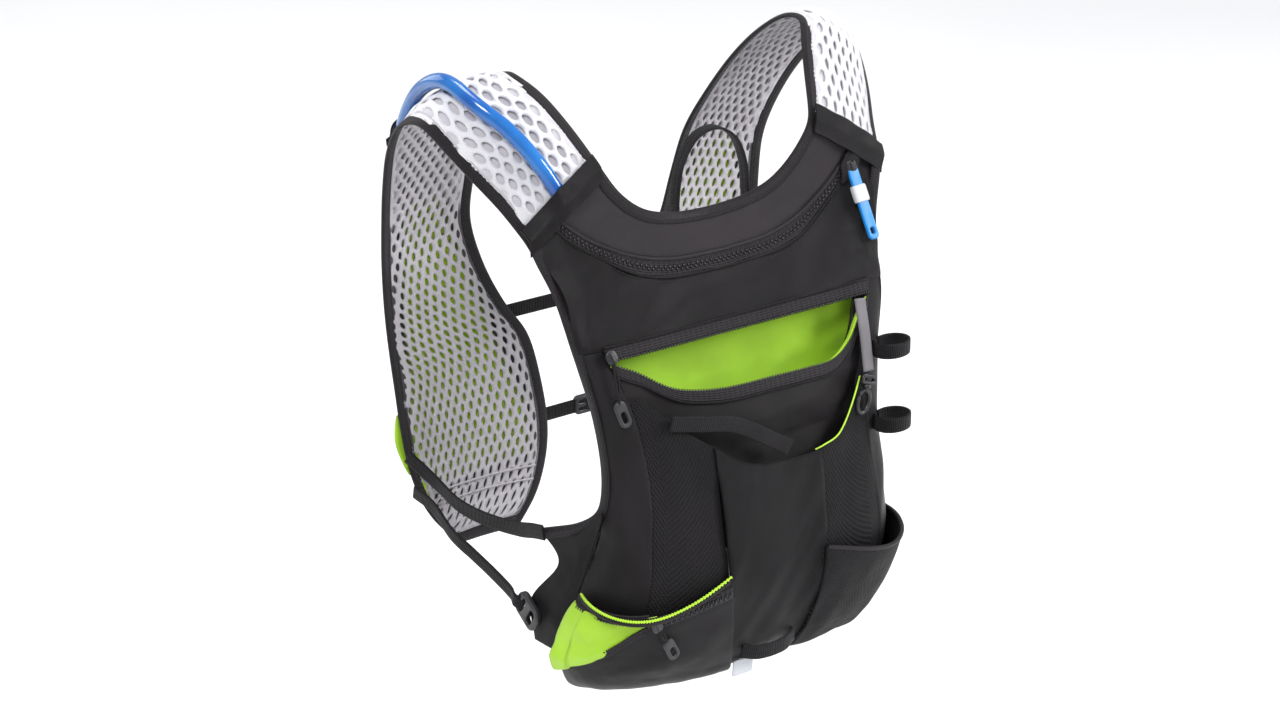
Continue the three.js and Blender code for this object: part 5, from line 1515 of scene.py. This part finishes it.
head = plate("hook_head", 12.4, 6.6, 3.2, ((0, 8.0, 2.0),), 0.45, 0.9)
set_between(head, hook_point(0, 0), hook_point(0, 6.4), BACKWARD)
collar = cord_mesh("hook_collar", [hook_point(0, y) for y in (6.2, 6.9, 8.6, 9.4)], [1.9, 2.5, 2.5, 1.7], 20)
a = np.linspace(-0.35, 4.95, 60)
bow = np.array([hook_point(4.6 * math.cos(k), 17.4 + 7.2 * math.sin(k)) for k in a])
bow_mesh = cord_mesh("hook_bow", bow, np.interp(a, [-0.35, 3, 4.95], [1.25, 1.5, 1.6]), 16)
gate = cord_mesh("hook_gate", [hook_point(4.3, 14.6), hook_point(3.4, 12.2), hook_point(1.6, 10.6),
                               hook_point(0.3, 10.0)], [1.0, 1.1, 1.1, 1.2], 14)
finish_piece(join("snap_hook", [head, collar, bow_mesh, gate]), buckle_plastic, "plastic", "key_hook")

# Pull of the closed zip, a soft blue tab with a grey sleeve
pull_top, pull_end = off(0.587, 0.224, 2.6), off(0.656, 0.345, 8)
pull_length = float(np.linalg.norm(pull_end - pull_top))
pull_tab = plate("pull_tab", 8.0, pull_length, 2.6, ((-19.0, 3.0, 4.0),), 0.4, 0.9, 0.12)
finish_piece(set_between(pull_tab, pull_top, pull_end, BACKWARD), blue_rubber, "blue_rubber",
             "reservoir_pull")
at = pull_top + (pull_end - pull_top) * np.linspace(0.28, 0.50, 20)[:, None]
pull_way = unit(pull_end - pull_top)
pull_side = unit(np.cross(pull_way, BACKWARD))
pull_up = np.cross(pull_side, pull_way)
theta = np.linspace(0, 2 * math.pi, 36, endpoint=False)
wide, tall = ((np.sign(v) * np.abs(v) ** 0.55)[None, :, None] for v in (np.cos(theta), np.sin(theta)))
ends = 1 - 0.10 * np.abs(np.linspace(-1, 1, 20)) ** 8
sleeve_rings = at[:, None] + ends[:, None, None] * (wide * pull_side * 5.4 + tall * pull_up * 2.5)
finish_piece(loft("sleeve", sleeve_rings), sleeve_rubber, "grey_sleeve", "pull_sleeve")


def slider_piece(name, start, end, node=None):
    body = plate(name, 7.0, 9.0, 3.2, (), 0.42, 1.0, -0.1)
    bridge = plate(name + "_bridge", 2.4, 6.4, 4.8, (), 0.4, 0.9)
    set_between(body, start, end, BACKWARD)
    set_between(bridge, start, end, BACKWARD)
    finish_piece(join(name + "_slider", [body, bridge]), buckle_plastic, "plastic", *([node] if node else []))


def ring_pull(name, start, end, node):
    ring = plate(name, 8.2, 17.2, 2.8, ((-2.2, 3.4, 7.0),), 0.45, 1.1)
    finish_piece(set_between(ring, start, end, BACKWARD), pull_rubber, "plastic", node)


def pull_cord(name, start, end):
    middle = (start + end) / 2
    rows = []
    for sign in (-1, 1):
        bend = middle + np.array([sign * 1.0, -1.0, 0])
        rows.append(cord_mesh(name + str(sign), resample([start, bend, end], 24), 0.75, 10))
    finish_piece(join(name, rows), webbing, "plastic")


slider_piece("main_zip", off(-0.485, 0.396, 3.4), off(-0.48, 0.420, 3.4), "zip_slider")
ring_pull("main_pull", off(-0.60, 0.470, 2.5), off(-0.59, 0.515, 2.5), "zip_pull")
pull_cord("main_pull_cord", off(-0.485, 0.412, 4.6), off(-0.598, 0.476, 3.4))
slider_piece("wing_slider", off(-0.47, 0.824, 5.2), off(-0.44, 0.846, 5.2))
ring_pull("wing_ring", off(-0.40, 0.862, 6), off(-0.35, 0.900, 6), "wing_pull")
pull_cord("wing_pull_cord", off(-0.45, 0.838, 6.2), off(-0.395, 0.868, 6.4))
slider_piece("reservoir", off(0.575, 0.215, 3.0), off(0.597, 0.238, 3.4))

# Elastic across the stretch pocket's mouth
band_points = resample([off(-0.30, 0.520, 6.5), off(-0.15, 0.532, 7.6), off(-0.05, 0.545, 7.6),
                        off(0.02, 0.605, 6.8)], 60)
strap_piece("elastic", band_points, UP, "compression_band")


def flask_loop(name, drop, node):
    """An open ring that stands on the skin by its two ends."""
    radius = 11
    middle = off(0.70, drop, radius * 0.891 + 0.5)
    across = unit(off(0.74, drop, 0) - off(0.66, drop, 0))
    out = off(0.70, drop, 1) - off(0.70, drop, 0)
    turn = np.linspace(0.10, 1.90, 70) * math.pi
    points = middle - radius * np.cos(turn)[:, None] * out + radius * np.sin(turn)[:, None] * across
    strap_piece(name, points, UP, node, STRAP_WIDTH, 1.7)


flask_loop("bottle_loop_upper", 0.50, "flask_loop_upper")
flask_loop("bottle_loop_lower", 0.62, "flask_loop_lower")

# Lamp loop and reflective tab at the bottom
lamp_points = resample([off(-0.075, 0.935, 1.6), off(-0.03, 0.935, 6), off(0.03, 0.935, 6),
                        off(0.075, 0.935, 1.6)], 50)
strap_piece("lamp_loop", lamp_points, UP, "light_loop")
tab_top = off(-0.06, 0.957, 1.2)
tab_points = np.linspace(tab_top, tab_top + np.array([0, 1, -11]), 12)
strap_piece("silver_tab", tab_points, RIGHT, "reflective_tab", 16.0, STRAP_THICKNESS, silver_tape,
            "reflective_tape")


# Stitching on the pack
def sew(name, line, normal, slot, pitch, lift):
    place, way, up = stitch_line(line, normal, pitch, lift)
    finish_piece(dots(name, place, way, up, (2.2, 0.5, 0.4)), thread, slot)


drop = np.linspace(0.63, 0.965, 160)
for sign, name in ((-1, "left"), (1, "right")):
    place = sign * (PANEL_HALF - 0.012) + 0 * drop
    sew("centre_stitches_" + name, skin_at(place, drop, 0.6), skin_normal(place, drop), "black_cloth", 3.4,
        0.8)
for k, extra in enumerate((6.6, -6.6)):
    sew("reservoir_stitches_%d" % k, skin_at(places, zip_drop + share(extra), 1.3), zip_up, "charcoal_cloth",
        3.0, 0.5)

# Two seams sewn across the inside of each panel, near its bottom
for k, seam_along in enumerate((0.890, 0.912)):
    t = np.linspace(0, 1, 90)
    seam_line = harness_at(0.10 + 0.80 * t, seam_along - 0.020 * t, -4.3)
    finish_pair(cord_mesh("panel_seam_right_%d" % k, seam_line, 0.75 + 0.12 * np.sin(90 * t), 8), grey_mesh,
                "grey_mesh")


# Bright gusset between each front pocket and the panel's arm edge
def gusset_strip(s, t, offset):
    along = 0.745 + 0.085 * s
    out = 2.4 * np.sin(math.pi * s) ** 1.4
    across = 0.93 + 0.07 * smooth(0, 0.5, t)
    point = harness_at(across, along, 1.0 + 5.5 * np.sin(math.pi * t * 0.5) * np.sin(math.pi * s) ** 0.6)
    way = unit(harness_at(1.0 + 0 * s, along) - harness_at(0.8 + 0 * s, along))
    reach = (out + 0.25 * np.sin(12 * s + 4 * t)) * np.sin(math.pi * t) - 2 * (1 - np.sin(math.pi * t))
    return point + way * reach[..., None] + np.array([0, 1.0, 0]) * np.asarray(offset)


finish_pair(sheet_mesh("front_gusset_right", gusset_strip, 40, 12, 1.0), lime, "lime_cloth")


# Camera, floor and light
CAMERA_PLACE = (-1.1476, -1.5465, 0.5728)
CAMERA_WAY = (0.5450, 0.7501, -0.3746)
FLOOR_HALF, FLOOR_Z = 6000, -560
LIGHT_AIM = (0, 0, -0.2)
# Each light's place, size and power
LIGHTS = (("key", (-1.6, -1.2, 2.2), 1.0, 66), ("fill", (1.8, -1.6, 1.0), 1.1, 60),
          ("top", (0.2, 0.6, 2.4), 1.2, 36), ("back", (-0.8, 2.2, 0.6), 1.6, 14))


def studio():
    """The camera at the photograph's angle, a light floor and four soft lights."""
    scene = bpy.context.scene
    data = bpy.data.cameras.new("camera")
    data.sensor_width = 36
    data.lens = 92.8
    data.clip_end = 50
    camera = bpy.data.objects.new("camera", data)
    scene.collection.objects.link(camera)
    camera.location = CAMERA_PLACE
    camera.rotation_euler = Vector(CAMERA_WAY).to_track_quat("-Z", "Y").to_euler()
    scene.camera = camera
    corners = [(x * FLOOR_HALF, y * FLOOR_HALF, FLOOR_Z) for x, y in ((-1, -1), (1, -1), (1, 1), (-1, 1))]
    floor = make_object("floor", corners, [(0, 1, 2, 3)], None, False)
    n = Nodes("floor")
    n.feed(n.mix(n.ramp(n.noise(1.5), 0.3, 0.7), (0.86, 0.86, 0.87, 1.0), (0.9, 0.9, 0.9, 1.0)),
           n.shader.inputs["Base Color"])
    n.set(Roughness=0.9)
    floor.data.materials.append(n.material)
    world = bpy.data.worlds.new("world")
    scene.world = world
    world.use_nodes = True
    background = world.node_tree.nodes["Background"]
    background.inputs[0].default_value = (0.95, 0.97, 1.0, 1.0)
    background.inputs[1].default_value = 0.5
    for name, place, size, power in LIGHTS:
        light = bpy.data.lights.new(name, "AREA")
        light.energy = power
        light.size = size
        lamp = bpy.data.objects.new(name, light)
        scene.collection.objects.link(lamp)
        lamp.location = place
        lamp.rotation_euler = (Vector(LIGHT_AIM) - Vector(place)).to_track_quat("-Z", "Y").to_euler()


bpy.context.scene.view_settings.view_transform = "Standard"
studio()
